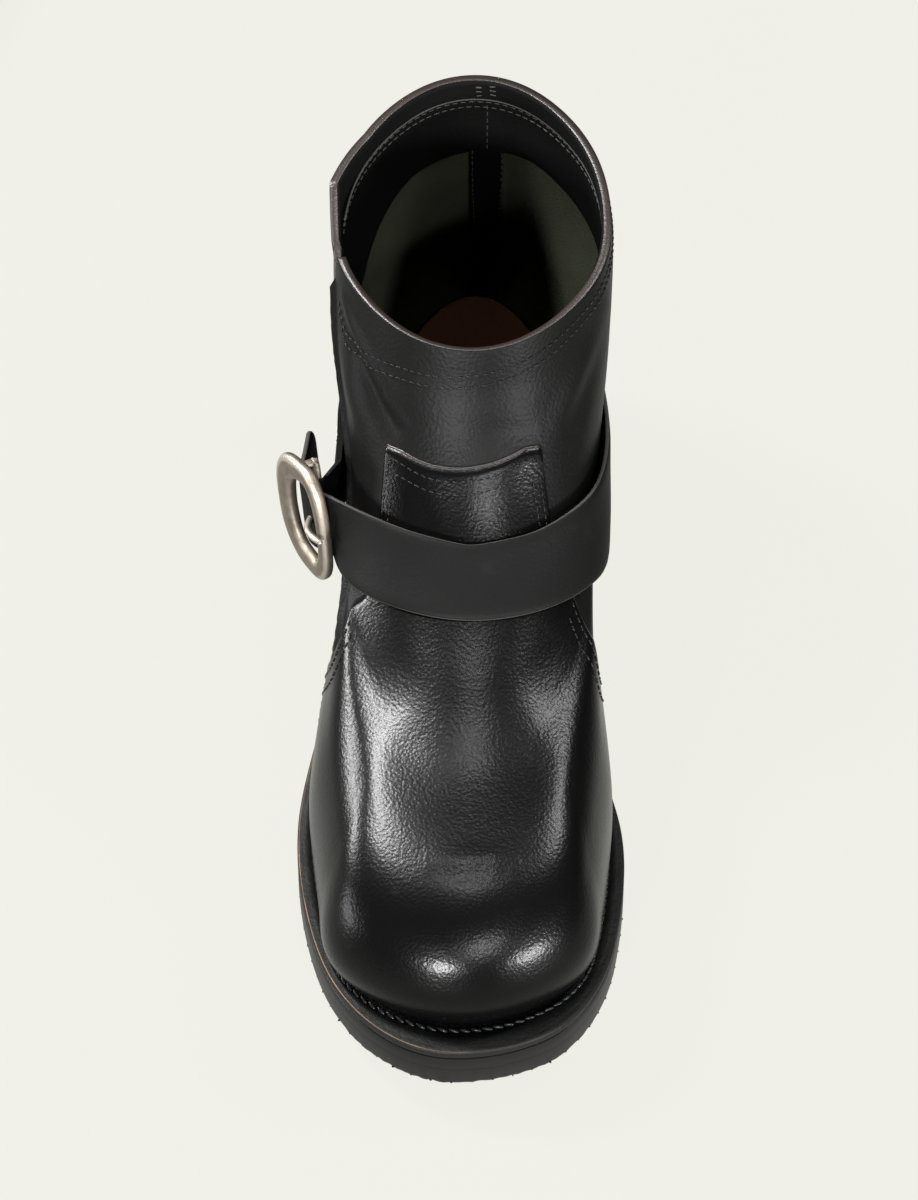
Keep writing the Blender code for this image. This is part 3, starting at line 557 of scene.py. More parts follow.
# Places in the upper's list of materials, and how far above the vamp's edge the shaft's face begins
ON_VAMP, ON_SHAFT, ON_EDGE, ON_FACING, ON_LINING = range(5)
LAP_DROP = 0.022

loops = []
row_slots = []
for share in np.linspace(0.0, 1.0, ROWS_BELOW):
    near = np.clip((1.0 - share) * vamp_top / 0.05, 0.0, 1.0)
    loops.append(outer_wall(vamp_top * share, turn, lap * (0.72 + 0.28 * np.sqrt(near))))
    row_slots.append(ON_VAMP)
row_slots[-1] = ON_EDGE
for drop, kept, slot in ((0.010, 0.35, ON_EDGE), (LAP_DROP, 0.0, ON_SHAFT)):
    loops.append(outer_wall(vamp_top + drop, turn, lap * kept))
    row_slots.append(slot)
for share in np.linspace(0.0, 1.0, ROWS_ABOVE)[1:]:
    ring = vamp_top + LAP_DROP + (collar_top - vamp_top - LAP_DROP) * share
    hem = np.clip((ring - collar_top + 0.09) / 0.09, 0.0, 1.0) ** 3
    loops.append(outer_wall(ring, turn, -RIM_ROUND * hem))
    row_slots.append(ON_SHAFT)
row_slots[-1] = ON_EDGE

facing_low = np.minimum(table_line(FACING_EDGE, turn_degrees), collar_top - 0.6)
back_strip = np.clip((8.3 - np.abs((turn_degrees - 176.0 + 180.0) % 360.0 - 180.0)) / 0.8, 0.0, 1.0)
for share in np.linspace(1.0, 0.0, ROWS_INSIDE):
    if share > 0.5:
        ring = facing_low + (collar_top - facing_low) * (share - 0.5) / 0.5
    else:
        ring = facing_low * share / 0.5
    rim = np.clip(1.0 - (collar_top - ring) / 0.06, 0.0, 1.0) ** 2
    hem = np.clip(((ring - collar_top) + 0.62) / 0.04, 0.0, 1.0)
    facing = np.clip((ring - facing_low) / 0.05, 0.0, 1.0)
    strip = back_strip * np.clip((7.85 - ring) / 0.08, 0.0, 1.0)
    inset = WALL + FACING_THICK * facing + HEM_THICK * hem + BACK_STRIP_THICK * strip - RIM_ROUND * rim
    _, flare = seam_and_flare(ring, turn_degrees)
    point = form_point(ring, turn)
    soft = fold_height(ring, turn, point) * 0.7 * np.clip(ring / 2.0, 0.0, 1.0)
    point = point + form_normal(ring, turn) * (flare + soft - inset)[:, None]
    if share <= 0.0:
        point[:, 2] = loops[0][:, 2]
    loops.append(point)
    row_slots.append(ON_FACING if share > 0.5 else ON_LINING)

slots = np.repeat(np.array(row_slots)[:, None], COLUMNS, 1)
slots[np.ix_(np.array(row_slots) == ON_LINING, back_strip > 0.5)] = ON_FACING
mesh = shell_mesh(
    "upper", loops, True, [VAMP_LEATHER, SHAFT_LEATHER, CUT_EDGE_AND_HIGHLIGHT, FACING_LEATHER, LINING], slots
)
upper = add_piece("upper_leather", mesh)
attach(upper, "root")
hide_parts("upper")


# Seam stitches
# Waxed black thread in double rows round the tab, at the vamp's sides and under the collar. Grey thread runs
# round the inside of the collar and down both sides of the back strip, with short strokes at the notch.
def laid_tree(name, sizes, coat, shape):
    """Geometry nodes: small shapes laid at a pitch along every line of a mesh, made one coated mesh."""
    tree = bpy.data.node_groups.new(name, "GeometryNodeTree")
    tree.interface.new_socket("Lines", in_out="INPUT", socket_type="NodeSocketGeometry")
    for label, value in sizes:
        socket = tree.interface.new_socket(label, in_out="INPUT", socket_type="NodeSocketFloat")
        socket.default_value = value
    tree.interface.new_socket(coat, in_out="INPUT", socket_type="NodeSocketMaterial")
    tree.interface.new_socket("Pieces", in_out="OUTPUT", socket_type="NodeSocketGeometry")
    nodes = tree.nodes
    link = tree.links.new
    given = nodes.new("NodeGroupInput")
    result = nodes.new("NodeGroupOutput")
    curve = nodes.new("GeometryNodeMeshToCurve")
    spaced = nodes.new("GeometryNodeCurveToPoints")
    spaced.mode = "LENGTH"
    link(given.outputs["Lines"], curve.inputs["Mesh"])
    link(curve.outputs["Curve"], spaced.inputs["Curve"])
    link(given.outputs["Pitch"], spaced.inputs["Length"])
    solid, rotation, scale = shape(tree, given, spaced)
    laid = nodes.new("GeometryNodeInstanceOnPoints")
    link(spaced.outputs["Points"], laid.inputs["Points"])
    link(solid, laid.inputs["Instance"])
    link(rotation, laid.inputs["Rotation"])
    link(scale, laid.inputs["Scale"])
    real = nodes.new("GeometryNodeRealizeInstances")
    coated = nodes.new("GeometryNodeSetMaterial")
    link(laid.outputs["Instances"], real.inputs["Geometry"])
    link(real.outputs["Geometry"], coated.inputs["Geometry"])
    link(given.outputs[coat], coated.inputs["Material"])
    link(coated.outputs["Geometry"], result.inputs["Pieces"])
    return tree


def stitch_shape(tree, given, spaced):
    """A rounded stitch that lies along the line and leans by the slant."""
    nodes = tree.nodes
    link = tree.links.new
    ball = nodes.new("GeometryNodeMeshUVSphere")
    ball.inputs["Segments"].default_value = 6
    ball.inputs["Rings"].default_value = 5
    ball.inputs["Radius"].default_value = 0.5
    size = nodes.new("ShaderNodeCombineXYZ")
    link(given.outputs["Thickness"], size.inputs["X"])
    link(given.outputs["Thickness"], size.inputs["Y"])
    link(given.outputs["Length"], size.inputs["Z"])
    turned = nodes.new("FunctionNodeAlignRotationToVector")
    turned.axis = "Z"
    link(spaced.outputs["Tangent"], turned.inputs["Vector"])
    angles = nodes.new("ShaderNodeCombineXYZ")
    link(given.outputs["Slant"], angles.inputs["X"])
    euler = nodes.new("FunctionNodeEulerToRotation")
    link(angles.outputs["Vector"], euler.inputs["Euler"])
    lean = nodes.new("FunctionNodeRotateRotation")
    lean.rotation_space = "LOCAL"
    link(turned.outputs["Rotation"], lean.inputs["Rotation"])
    link(euler.outputs["Rotation"], lean.inputs["Rotate By"])
    return ball.outputs["Mesh"], lean.outputs["Rotation"], size.outputs["Vector"]


def line_edges(lines):
    """Points and edges of several open lines."""
    edges = []
    start = 0
    for line in lines:
        edges += [(start + i, start + i + 1) for i in range(len(line) - 1)]
        start += len(line)
    return np.concatenate(lines), edges


def made_by_nodes(name, tree, lines, inputs, smooth=True):
    """Runs a node tree on lines and keeps the result as a plain mesh piece."""
    points, edges = line_edges(lines)
    mesh = bpy.data.meshes.new(name + "_guide")
    mesh.from_pydata(points.tolist(), edges, [])
    guide = add_piece(name + "_guide", mesh)
    modifier = guide.modifiers.new("nodes", "NODES")
    modifier.node_group = tree
    for item in tree.interface.items_tree:
        if item.item_type == "SOCKET" and item.in_out == "INPUT" and item.name in inputs:
            modifier[item.identifier] = inputs[item.name]
    bpy.context.view_layer.update()
    evaluated = guide.evaluated_get(bpy.context.evaluated_depsgraph_get())
    plain = bpy.data.meshes.new_from_object(evaluated)
    plain.name = name
    if smooth:
        plain.shade_smooth()
    guide.modifiers.remove(modifier)
    bpy.data.objects.remove(guide)
    return add_piece(name, plain)


def thread_finish(name, tone, rough=0.6):
    finish = Finish(name)
    twist = finish.noise(5200.0, 2.0, 0.5)
    colour = finish.mixed(twist, tuple(0.7 * c for c in tone), tuple(1.5 * c for c in tone))
    return finish.set(
        Base_Color=colour, Roughness=rough, Normal=finish.bump(twist, 0.0001, 0.6), Specular_IOR_Level=0.10
    )


def on_outside(rows, lift, samples=140):
    """A line on the outer face through rows of ring and degrees, lifted by metres."""
    at = np.linspace(0.0, len(rows) - 1.0, samples)
    table = spline(np.arange(len(rows)), np.array(rows, float), at)
    ring = table[:, 0]
    angle = np.radians(table[:, 1])
    point = form_point(ring, angle)
    lift = lift + fold_height(ring, angle, point) + crown_height(ring, table[:, 1])
    return point + form_normal(ring, angle) * lift[:, None]


def on_inside(rows, depth, samples=140):
    at = np.linspace(0.0, len(rows) - 1.0, samples)
    table = spline(np.arange(len(rows)), np.array(rows, float), at)
    angle = np.radians(table[:, 1])
    return form_point(table[:, 0], angle) - form_normal(table[:, 0], angle) * depth


BLACK_THREAD = thread_finish("black_thread", (0.0022, 0.0022, 0.0022), 0.4)
STITCH_SIZES = (("Pitch", 0.0024), ("Length", 0.0018), ("Thickness", 0.00045), ("Slant", 0.0))
STITCHES = laid_tree("seam_stitches", STITCH_SIZES, "Thread", stitch_shape)

TAB_BORDER = [
    (6.2, -44.6), (6.9, -40.6), (7.5, -36.4), (7.80, -34.0), (7.88, -30.0), (7.89, -16.0), (7.94, -2.0),
    (7.99, 11.0), (8.04, 24.0), (7.95, 28.8), (7.6, 30.6), (7.0, 34.4), (6.3, 41.6),
]
TAB_SECOND = [
    (6.1, -42.2), (6.8, -38.2), (7.4, -34.2), (7.64, -31.4), (7.70, -28.0), (7.72, -16.0), (7.77, -2.0),
    (7.82, 11.0), (7.86, 22.6), (7.76, 26.4), (7.4, 28.6), (6.9, 32.2), (6.2, 39.2),
]
VAMP_SIDE_LEFT = [(4.5, -66.4), (4.0, -69.6), (3.5, -72.4), (2.6, -76.6), (1.6, -81.0)]
VAMP_SIDE_LEFT_TWO = [(4.45, -64.4), (3.95, -67.6), (3.4, -70.4), (2.5, -74.6), (1.5, -79.0)]
VAMP_SIDE_RIGHT = [(5.5, 54.0), (4.9, 60.0), (4.2, 67.0), (3.2, 72.4), (2.2, 78.0), (1.4, 82.0)]
VAMP_SIDE_RIGHT_TWO = [(5.4, 52.0), (4.8, 58.0), (4.1, 65.0), (3.1, 70.4), (2.1, 76.0), (1.3, 80.0)]
COLLAR_ROW = [
    (9.10, -68.0), (8.88, -62.0), (9.00, -53.0), (9.12, -45.0), (9.35, -29.0), (9.45, -16.0), (9.53, -3.0),
    (9.60, 13.0), (9.65, 31.0), (9.70, 48.0), (9.68, 70.0), (9.62, 100.0), (9.60, 140.0), (9.60, 179.0),
    (9.60, 210.0), (9.55, 240.0), (9.45, 258.0),
]

lap_lift = VAMP_STEP + 0.00010
outside_lines = [
    on_outside(TAB_BORDER, lap_lift),
    on_outside(TAB_SECOND, lap_lift),
    on_outside(VAMP_SIDE_LEFT, lap_lift),
    on_outside(VAMP_SIDE_LEFT_TWO, lap_lift),
    on_outside(VAMP_SIDE_RIGHT, lap_lift),
    on_outside(VAMP_SIDE_RIGHT_TWO, lap_lift),
    on_outside(COLLAR_ROW, 0.00008, 400),
    on_outside([(ring - 0.19, degrees) for ring, degrees in COLLAR_ROW], 0.00008, 400),
]
seams = made_by_nodes(
    "seam_stitches", STITCHES, outside_lines,
    {"Pitch": 0.0025, "Length": 0.0019, "Thickness": 0.00070, "Thread": BLACK_THREAD},
)
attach(seams, "root")

HEM_LINE = [
    (9.38, -96.0), (9.38, -110.0), (9.36, -130.0), (9.38, -150.0), (9.38, -180.0), (9.38, -205.0),
    (9.38, -230.0), (9.38, -255.0), (9.38, -275.0), (9.38, -300.0),
]
inside_lines = [
    on_inside([(ring - 0.10, degrees) for ring, degrees in HEM_LINE], WALL + 0.0004, 420),
    on_inside([(ring - 0.27, degrees) for ring, degrees in HEM_LINE], WALL + 0.0004, 420),
    on_inside([(9.1, 176.0), (8.5, 176.0), (7.9, 176.0)], WALL + 0.0004),
    on_inside([(7.7, 169.2), (6.0, 169.4), (4.0, 169.8), (2.5, 170.0)], WALL + 0.0007),
    on_inside([(7.7, 182.8), (6.0, 182.6), (4.0, 182.2), (2.5, 182.0)], WALL + 0.0007),
]
zigzag = [(9.90 - 0.07 * step, 172.5 + 7.0 * (step % 2)) for step in range(6)]
inside_lines += [on_inside([zigzag[k], zigzag[k + 1]], WALL + 0.0012, 8) for k in range(5)]
for step in range(6):
    inside_lines.append(on_inside([(8.26, -84.0 - 2.6 * step), (7.98, -86.0 - 2.6 * step)], WALL + 0.0006, 8))
inner_seams = made_by_nodes(
    "facing_stitches", STITCHES, inside_lines,
    {"Pitch": 0.0026, "Length": 0.0021, "Thickness": 0.00050,
     "Thread": thread_finish("grey_thread", (0.014, 0.014, 0.0135), 0.5)},
)
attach(inner_seams, "root")


# Collar hem
# The collar leather is turned over the rim and stitched down inside.
# Its cut edge shows there as a thin lighter line.
def tube_along(line, radius, sides):
    """Loops of a thin round bead along a line."""
    way = np.gradient(line, axis=0)
    way /= np.linalg.norm(way, axis=1, keepdims=True)
    first = np.cross(way, np.array([0.0, 0.0, 1.0]))
    first /= np.linalg.norm(first, axis=1, keepdims=True)
    second = np.cross(way, first)
    turns = np.linspace(0.0, 2.0 * math.pi, sides, endpoint=False)
    loops = []
    for point, side, other in zip(line, first, second):
        loops.append(point + radius * (np.cos(turns)[:, None] * side + np.sin(turns)[:, None] * other))
    return loops


def cap_ends(mesh):
    """Closes the open ends of a tube."""
    work = bmesh.new()
    work.from_mesh(mesh)
    bmesh.ops.holes_fill(work, edges=[edge for edge in work.edges if edge.is_boundary])
    bmesh.ops.recalc_face_normals(work, faces=work.faces)
    work.to_mesh(mesh)
    work.free()


HEM_RADIUS = 0.00032
HEM_EDGE = leather_finish("hem_cut_edge", (0.018, 0.018, 0.0175), 0.45, 0.0008, 0.00012)
hem_loops = tube_along(on_inside(HEM_LINE, WALL + HEM_THICK, 420), HEM_RADIUS, 8)
hem_mesh = shell_mesh("hem_edge", hem_loops, False, [HEM_EDGE])
cap_ends(hem_mesh)
hem = add_piece("hem_edge", hem_mesh)
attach(hem, "root")


# Engineer strap
# One thick cut strap of matt black leather across the instep and round the heel, its raw edges a little
# lighter. It stands off the shaft at the sides and runs through the buckle to a narrowed tip.
STRAP_WIDTH = 0.0244
STRAP_THICK = 0.0023
BUCKLE_LENGTH = 0.026

# Middle of the strap on the upper: angle in degrees, ring number, inner face above the upper in millimetres
STRAP_PATH = [
    (-58, 5.96, 3.7), (-45, 6.32, 2.7), (-30, 6.58, 2.3), (-16, 6.73, 2.3), (0, 6.73, 2.3), (16, 6.73, 2.3),
    (30, 6.58, 2.4), (45, 6.35, 2.7), (58, 6.08, 3.6), (70, 5.70, 4.2), (87, 5.04, 3.0), (95, 4.62, 2.1),
    (102, 4.16, 1.4), (114, 3.42, 0.8), (124, 3.00, 0.6), (136, 2.75, 0.6), (150, 2.60, 0.6),
    (180, 2.45, 0.6), (210, 2.60, 0.6), (224, 2.75, 0.6), (236, 3.00, 0.6), (246, 3.35, 0.7),
]

# Strap through the buckle: shares of the buckle's length along it, millimetres out from its middle plane
STRAP_IN_BUCKLE = [
    (-0.56, -2.9), (-0.37, -3.9), (0.0, -1.2), (0.30, -4.6), (0.55, -9.6), (0.80, -14.6), (0.95, -17.4),
]
BUCKLE_ROWS = 43

# The rows in the buckle keep their places, and those after them are smoothed this many times
KEPT_ROWS = 38
STRAP_SMOOTHING = 45


def buckle_axes():
    """Middle of the buckle and its directions: along the strap, up across it, and out."""
    front = np.array([-0.44555 * BALL_WIDTH, place_y(0.53684), 0.56478 * COLLAR_HEIGHT])
    rear = np.array([-0.53960 * BALL_WIDTH, place_y(0.58596), 0.53621 * COLLAR_HEIGHT])
    along = (rear - front) / np.linalg.norm(rear - front)
    across = np.array([-0.083, 0.224, 0.970])
    across -= along * (across @ along)
    across /= np.linalg.norm(across)
    return (front + rear) / 2.0, along, across, -np.cross(along, across)


def buckle_point(u, w, n):
    middle, along, across, out = buckle_axes()
    u, w, n = np.broadcast_arrays(np.asarray(u, float), np.asarray(w, float), np.asarray(n, float))
    return middle + u[..., None] * along + w[..., None] * across + n[..., None] * out


def walk_on_form(ring, angle, along, across, width):
    """Point of the last at a width across the strap, and its normal."""
    start = form_point(ring, angle)
    ring = ring.copy()
    angle = angle.copy()
    small = 0.01
    for _ in range(8):
        here = form_point(ring, angle) - start
        miss_a = width - (here * across).sum(-1)
        miss_t = -(here * along).sum(-1)
        by_ring = (form_point(ring + small, angle) - form_point(ring - small, angle)) / (2.0 * small)
        by_angle = (form_point(ring, angle + small) - form_point(ring, angle - small)) / (2.0 * small)
        ra, rt = (by_ring * across).sum(-1), (by_ring * along).sum(-1)
        aa, at = (by_angle * across).sum(-1), (by_angle * along).sum(-1)
        size = ra * at - aa * rt
        ring += np.clip((miss_a * at - aa * miss_t) / size, -0.8, 0.8)
        angle += np.clip((ra * miss_t - rt * miss_a) / size, -0.3, 0.3)
    return form_point(ring, angle), form_normal(ring, angle)


def strap_rows(widths):
    """Rows of the strap from its tip to its sewn end: middle points at the widths, and outward directions."""
    turn = np.append(np.arange(-58.0, 243.0, 2.0), 244.0)
    ring = smooth_line(STRAP_PATH, turn)
    rise = smooth_line(STRAP_PATH, turn, 2) * 0.001 + STRAP_THICK / 2.0
    angle = np.radians(turn)
    wrapped = np.where(angle > math.pi, angle - 2.0 * math.pi, angle)
    line = form_point(ring, wrapped)
    along = np.gradient(line, axis=0)
    along /= np.linalg.norm(along, axis=1, keepdims=True)
    across = np.cross(form_normal(ring, wrapped), along)
    across /= np.linalg.norm(across, axis=1, keepdims=True)
    points = []
    outs = []
    for width in widths:
        at, out = walk_on_form(ring, wrapped, along, across, np.full(len(ring), width))
        points.append(at + out * rise[:, None])
        outs.append(out)
    u = np.array([row[0] for row in STRAP_IN_BUCKLE][::-1]) * BUCKLE_LENGTH
    n = np.array([row[1] for row in STRAP_IN_BUCKLE][::-1]) * 0.001
    fine = np.linspace(0.0, len(u) - 1.0, BUCKLE_ROWS)
    u = spline(np.arange(len(u)), u, fine)
    n = spline(np.arange(len(n)), n, fine)
    _, length_way, _, out_way = buckle_axes()
    slope_u = np.gradient(u)
    slope_n = np.gradient(n)
    size = np.hypot(slope_u, slope_n)
    outward = -(slope_u / size)[:, None] * out_way + (slope_n / size)[:, None] * length_way
    taper = np.clip(0.55 + 0.45 * np.sqrt(np.arange(BUCKLE_ROWS) / 7.0), 0.0, 1.0)
    lean = np.clip(-u / BUCKLE_LENGTH - 0.36, 0.0, 0.20) / 0.20 * 0.16
    through = np.stack([buckle_point(u, width * taper, n - lean * width) for width in widths], 1)
    through_out = np.repeat(outward[:, None, :], len(widths), 1)
    rows = np.concatenate([through, np.stack(points, 1)])
    outs = np.concatenate([through_out, np.stack(outs, 1)])
    return rows, outs / np.linalg.norm(outs, axis=-1, keepdims=True)


def strip_mesh(name, middle, outward, half, material):
    """Closed strip with rounded edges, marked where its cut edge shows."""
    rows, across = middle.shape[:2]
    half = np.broadcast_to(half, (rows, across))[..., None]
    outer = middle + outward * half
    inner = middle - outward * half
    ring = np.concatenate([outer, inner[:, ::-1]], 1)
    count = 2 * across
    faces = []
    for k in range(rows - 1):
        for i in range(count):
            j = (i + 1) % count
            faces.append((k * count + i, k * count + j, (k + 1) * count + j, (k + 1) * count + i))
    for k in (0, rows - 1):
        for i in range(across - 1):
            upper_side = k * count + i
            lower_side = k * count + count - 1 - i
            faces.append((upper_side, upper_side + 1, lower_side - 1, lower_side))
    mesh = bpy.data.meshes.new(name)
    mesh.from_pydata(ring.reshape(-1, 3).tolist(), [], faces)
    mesh.materials.append(material)
    edge = np.zeros((rows, count))
    edge[:, [0, across - 1, across, count - 1]] = 1.0
    edge[[0, rows - 1], :] = 1.0
    mark_edge(mesh, edge)
    turn_outwards(mesh)
    mesh.shade_smooth()
    return mesh


STRAP_LEATHER = leather_finish(
    "strap_leather", (0.0020, 0.0020, 0.00195), 0.54, 0.0009, 0.00012, (0.026, 0.0245, 0.023), 0.045
)
reach = np.linspace(-1.0, 1.0, 15)
reach = np.sign(reach) * (1.0 - (1.0 - np.abs(reach)) ** 1.5)
middle, outward = strap_rows(STRAP_WIDTH / 2.0 * reach)
for _ in range(STRAP_SMOOTHING):
    for rows in (middle, outward):
        rows[KEPT_ROWS:-1] = (rows[KEPT_ROWS - 1:-2] + 2.0 * rows[KEPT_ROWS:-1] + rows[KEPT_ROWS + 1:]) / 4.0
outward /= np.linalg.norm(outward, axis=-1, keepdims=True)
half = STRAP_THICK / 2.0 * (0.40 + 0.60 * (1.0 - np.abs(reach) ** 14))
strap = add_piece("strap_leather", strip_mesh("strap", middle, outward, half, STRAP_LEATHER))
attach(strap, "root")
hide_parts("strap")


# Buckle and its tongue
# Cast frame in worn silver with a heavy rounded front, a broad flared rear and a bar behind it, on which the
# tongue turns. Its raised places are rubbed bright and its hollows keep a brown patina.
def silver_finish():
    finish = Finish("antique_silver")
    grain = finish.noise(1500.0, 4.0, 0.6)
    patches = finish.noise(260.0, 4.0, 0.6)
    worn = finish.ramp(finish.attribute("edge") + 0.6 * patches, 0.45, 1.05)
    colour = finish.mixed(patches, (0.058, 0.046, 0.034), (0.135, 0.115, 0.094))
    colour = finish.mixed(worn, colour, (0.30, 0.268, 0.230))
    colour = finish.mixed(finish.ramp(grain, 0.60, 0.72) * 0.5, colour, (0.045, 0.035, 0.026))
    roughness = 0.50 + 0.16 * grain - 0.14 * worn
    normal = finish.bump(grain + 0.5 * patches, 0.00018, 0.6)
    return finish.set(Base_Color=colour, Metallic=1.0, Roughness=roughness, Normal=normal)


SILVER = silver_finish()
BUCKLE_HEIGHT = 0.046
BUCKLE_THICK = 0.0040
REAR_BROAD = 0.0020
BAR_RADIUS = 0.0013
BAR_DROP = 0.0055
TONGUE_RADIUS = 0.0011
EYE_RADIUS = 0.0010
ROD_RUBBED = 0.35


def rod_mesh(name, path, radii, sides):
    """Rounded rod along a path with a radius at each point, closed by domed ends."""
    at = np.linspace(0.0, len(path) - 1.0, 8 * (len(path) - 1) + 1)
    line = spline(np.arange(len(path)), np.array(path, float), at)
    radius = np.interp(at, np.arange(len(radii)), radii)
    way_in = (line[0] - line[1]) / np.linalg.norm(line[0] - line[1])
    way_out = (line[-1] - line[-2]) / np.linalg.norm(line[-1] - line[-2])
    far = (0.45, 0.80, 0.98)
    near = np.array((0.90, 0.62, 0.25))
    head = [line[0] + way_in * radius[0] * share for share in far][::-1]
    tail = [line[-1] + way_out * radius[-1] * share for share in far]
    line = np.concatenate([head, line, tail])
    radius = np.concatenate([radius[0] * near[::-1], radius, radius[-1] * near])
    way = np.gradient(line, axis=0)
    way /= np.linalg.norm(way, axis=1, keepdims=True)
    _, _, across, out = buckle_axes()
    first = out if abs(way[len(way) // 2] @ out) < 0.8 else across
    turns = np.linspace(0.0, 2.0 * math.pi, sides, endpoint=False)
    loops = []
    for point, direction, size in zip(line, way, radius):
        side = first - direction * (first @ direction)
        side /= np.linalg.norm(side)
        other = np.cross(direction, side)
        loops.append(point + size * (np.cos(turns)[:, None] * side + np.sin(turns)[:, None] * other))
    mesh = shell_mesh(name, loops, False, [SILVER], edge=np.full(len(loops) * sides, ROD_RUBBED))
    cap_ends(mesh)
    mesh.shade_smooth()
    return mesh


def pressed(values, power):
    """Values of a sine or cosine pressed towards a square, with their signs kept."""
    return np.sign(values) * np.abs(values) ** power


def frame_mesh():
    turns = np.linspace(0.0, 2.0 * math.pi, 128, endpoint=False)
    square = 2.0 / 3.2
    u = pressed(np.cos(turns), square)
    w = pressed(np.sin(turns), square)
    broad = REAR_BROAD * (1.0 + u) / 2.0
    band = 0.0046 + 0.0012 * (1.0 + u) / 2.0 + 0.0016 * np.abs(w) + broad
    narrow = 1.0 - 0.10 * (1.0 + u) / 2.0
    half_length = BUCKLE_LENGTH / 2.0 - band / 2.0 + broad
    centre = np.stack([u * half_length, w * (BUCKLE_HEIGHT / 2.0 - band / 2.0) * narrow], -1)
    for _ in range(3):
        centre = (np.roll(centre, 1, axis=0) + 2.0 * centre + np.roll(centre, -1, axis=0)) / 4.0
    ahead = np.roll(centre, -1, axis=0) - np.roll(centre, 1, axis=0)
    side = np.stack([ahead[:, 1], -ahead[:, 0]], -1)
    side /= np.linalg.norm(side, axis=1, keepdims=True)
    section = np.linspace(0.0, 2.0 * math.pi, 24, endpoint=False)
    loops = []
    marks = []
    for r, h in zip(pressed(np.cos(section), 0.7), pressed(np.sin(section), 0.75)):
        flat = centre + side * (band / 2.0)[:, None] * r
        dent = 0.00016 * np.sin(turns * 3.0 + 1.0) * (h > 0.0)
        loops.append(buckle_point(flat[:, 0], flat[:, 1], BUCKLE_THICK / 2.0 * h + dent))
        rubbed = 0.75 * h * abs(r) ** 2 + 0.35 * (r > 0.6) * (h > 0.0)
        marks.append(np.full(len(turns), np.clip(rubbed, 0.0, 1.0)))
    return shell_mesh("buckle", loops, True, [SILVER], edge=np.concatenate(marks))


buckle = add_piece("buckle_frame", frame_mesh())
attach(buckle, "root")
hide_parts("buckle")

reach_w = BUCKLE_HEIGHT / 2.0 - 0.0035
bar_path = [
    buckle_point(0.0, -reach_w, -0.0005), buckle_point(0.0, -reach_w + 0.0006, -BAR_DROP + 0.0012),
    buckle_point(0.0, -reach_w + 0.0022, -BAR_DROP), buckle_point(0.0, 0.0, -BAR_DROP),
    buckle_point(0.0, reach_w - 0.0022, -BAR_DROP), buckle_point(0.0, reach_w - 0.0006, -BAR_DROP + 0.0012),
    buckle_point(0.0, reach_w, -0.0005),
]
bar = add_piece("buckle_bar", rod_mesh("buckle_bar", bar_path, [BAR_RADIUS] * 7, 16))
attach(bar, "root")

front = -BUCKLE_LENGTH / 2.0
tongue_lift = BUCKLE_THICK / 2.0 + 0.0003 + TONGUE_RADIUS
tongue_path = [
    buckle_point(-0.0004, 0.0, -BAR_DROP + BAR_RADIUS + TONGUE_RADIUS),
    buckle_point(-0.0016, 0.0, -0.0012),
    buckle_point(-0.0040, 0.0, 0.0016),
    buckle_point(-0.0068, 0.0, tongue_lift * 0.97),
    buckle_point(front + 0.0026, 0.0, tongue_lift + 0.0002),
    buckle_point(front - 0.0008, 0.0, tongue_lift - 0.0002),
]
tongue_radii = [0.0010] + [TONGUE_RADIUS] * 4 + [0.0009]
tongue = add_piece("buckle_tongue", rod_mesh("tongue", tongue_path, tongue_radii, 16))
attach(tongue, "root")
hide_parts("prong")

eye_turns = np.linspace(0.0, 2.0 * math.pi, 40, endpoint=False)
eye_loops = []
for side in np.linspace(0.0, 2.0 * math.pi, 16, endpoint=False):
    reach = BAR_RADIUS + TONGUE_RADIUS + EYE_RADIUS * math.cos(side)
    rise = -BAR_DROP + reach * np.sin(eye_turns)
    eye_loops.append(buckle_point(reach * np.cos(eye_turns), EYE_RADIUS * math.sin(side), rise))
eye_mesh = shell_mesh("tongue_eye", eye_loops, True, [SILVER], edge=np.full(16 * 40, ROD_RUBBED))
eye = add_piece("tongue_eye", eye_mesh)
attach(eye, "root")
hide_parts("prong")


# Chape
# A folded strip of strap leather round the bar, sewn down on the shaft with a square of white stitches.
# Its shape is the source's solid, which gets its leather and its stitches here.

# Its tail: share of the length from the toe, share of the collar's height, half thickness, gap in metres
CHAPE_TAIL = [
    (0.7228, 0.5017, 0.00110, 0.00160), (0.7018, 0.5083, 0.00110, 0.00160),
    (0.6807, 0.5150, 0.00110, 0.00160), (0.6596, 0.5223, 0.00110, 0.00160),
    (0.6386, 0.5296, 0.00110, 0.00195), (0.6193, 0.5362, 0.00095, 0.00300),
    (0.6018, 0.5422, 0.00070, 0.00390),
]


def recoat(node, material):
    """Gives a solid of the source its finish; its mesh stays as it is."""
    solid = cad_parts[node]
    solid.data.materials.clear()
    solid.data.materials.append(material)


recoat("chape", leather_finish("chape_leather", (0.0021, 0.0021, 0.00205), 0.46, 0.0009, 0.00012))


def side_of_form(from_toe, height):
    """Ring and angle of the last's lateral side at a share of the length and of the collar's height."""
    goal = np.array([place_y(from_toe), height * COLLAR_HEIGHT])
    ring = np.array([4.5])
    angle = np.array([math.radians(-95.0)])
    small = 0.01
    for _ in range(20):
        here = form_point(ring, angle)[0, 1:]
        by_ring = (form_point(ring + small, angle) - form_point(ring - small, angle))[0, 1:] / (2.0 * small)
        by_angle = (form_point(ring, angle + small) - form_point(ring, angle - small))[0, 1:] / (2.0 * small)
        step = np.linalg.solve(np.column_stack([by_ring, by_angle]), goal - here)
        ring += np.clip(step[0], -0.5, 0.5)
        angle += np.clip(step[1], -0.2, 0.2)
    return ring[0], angle[0]


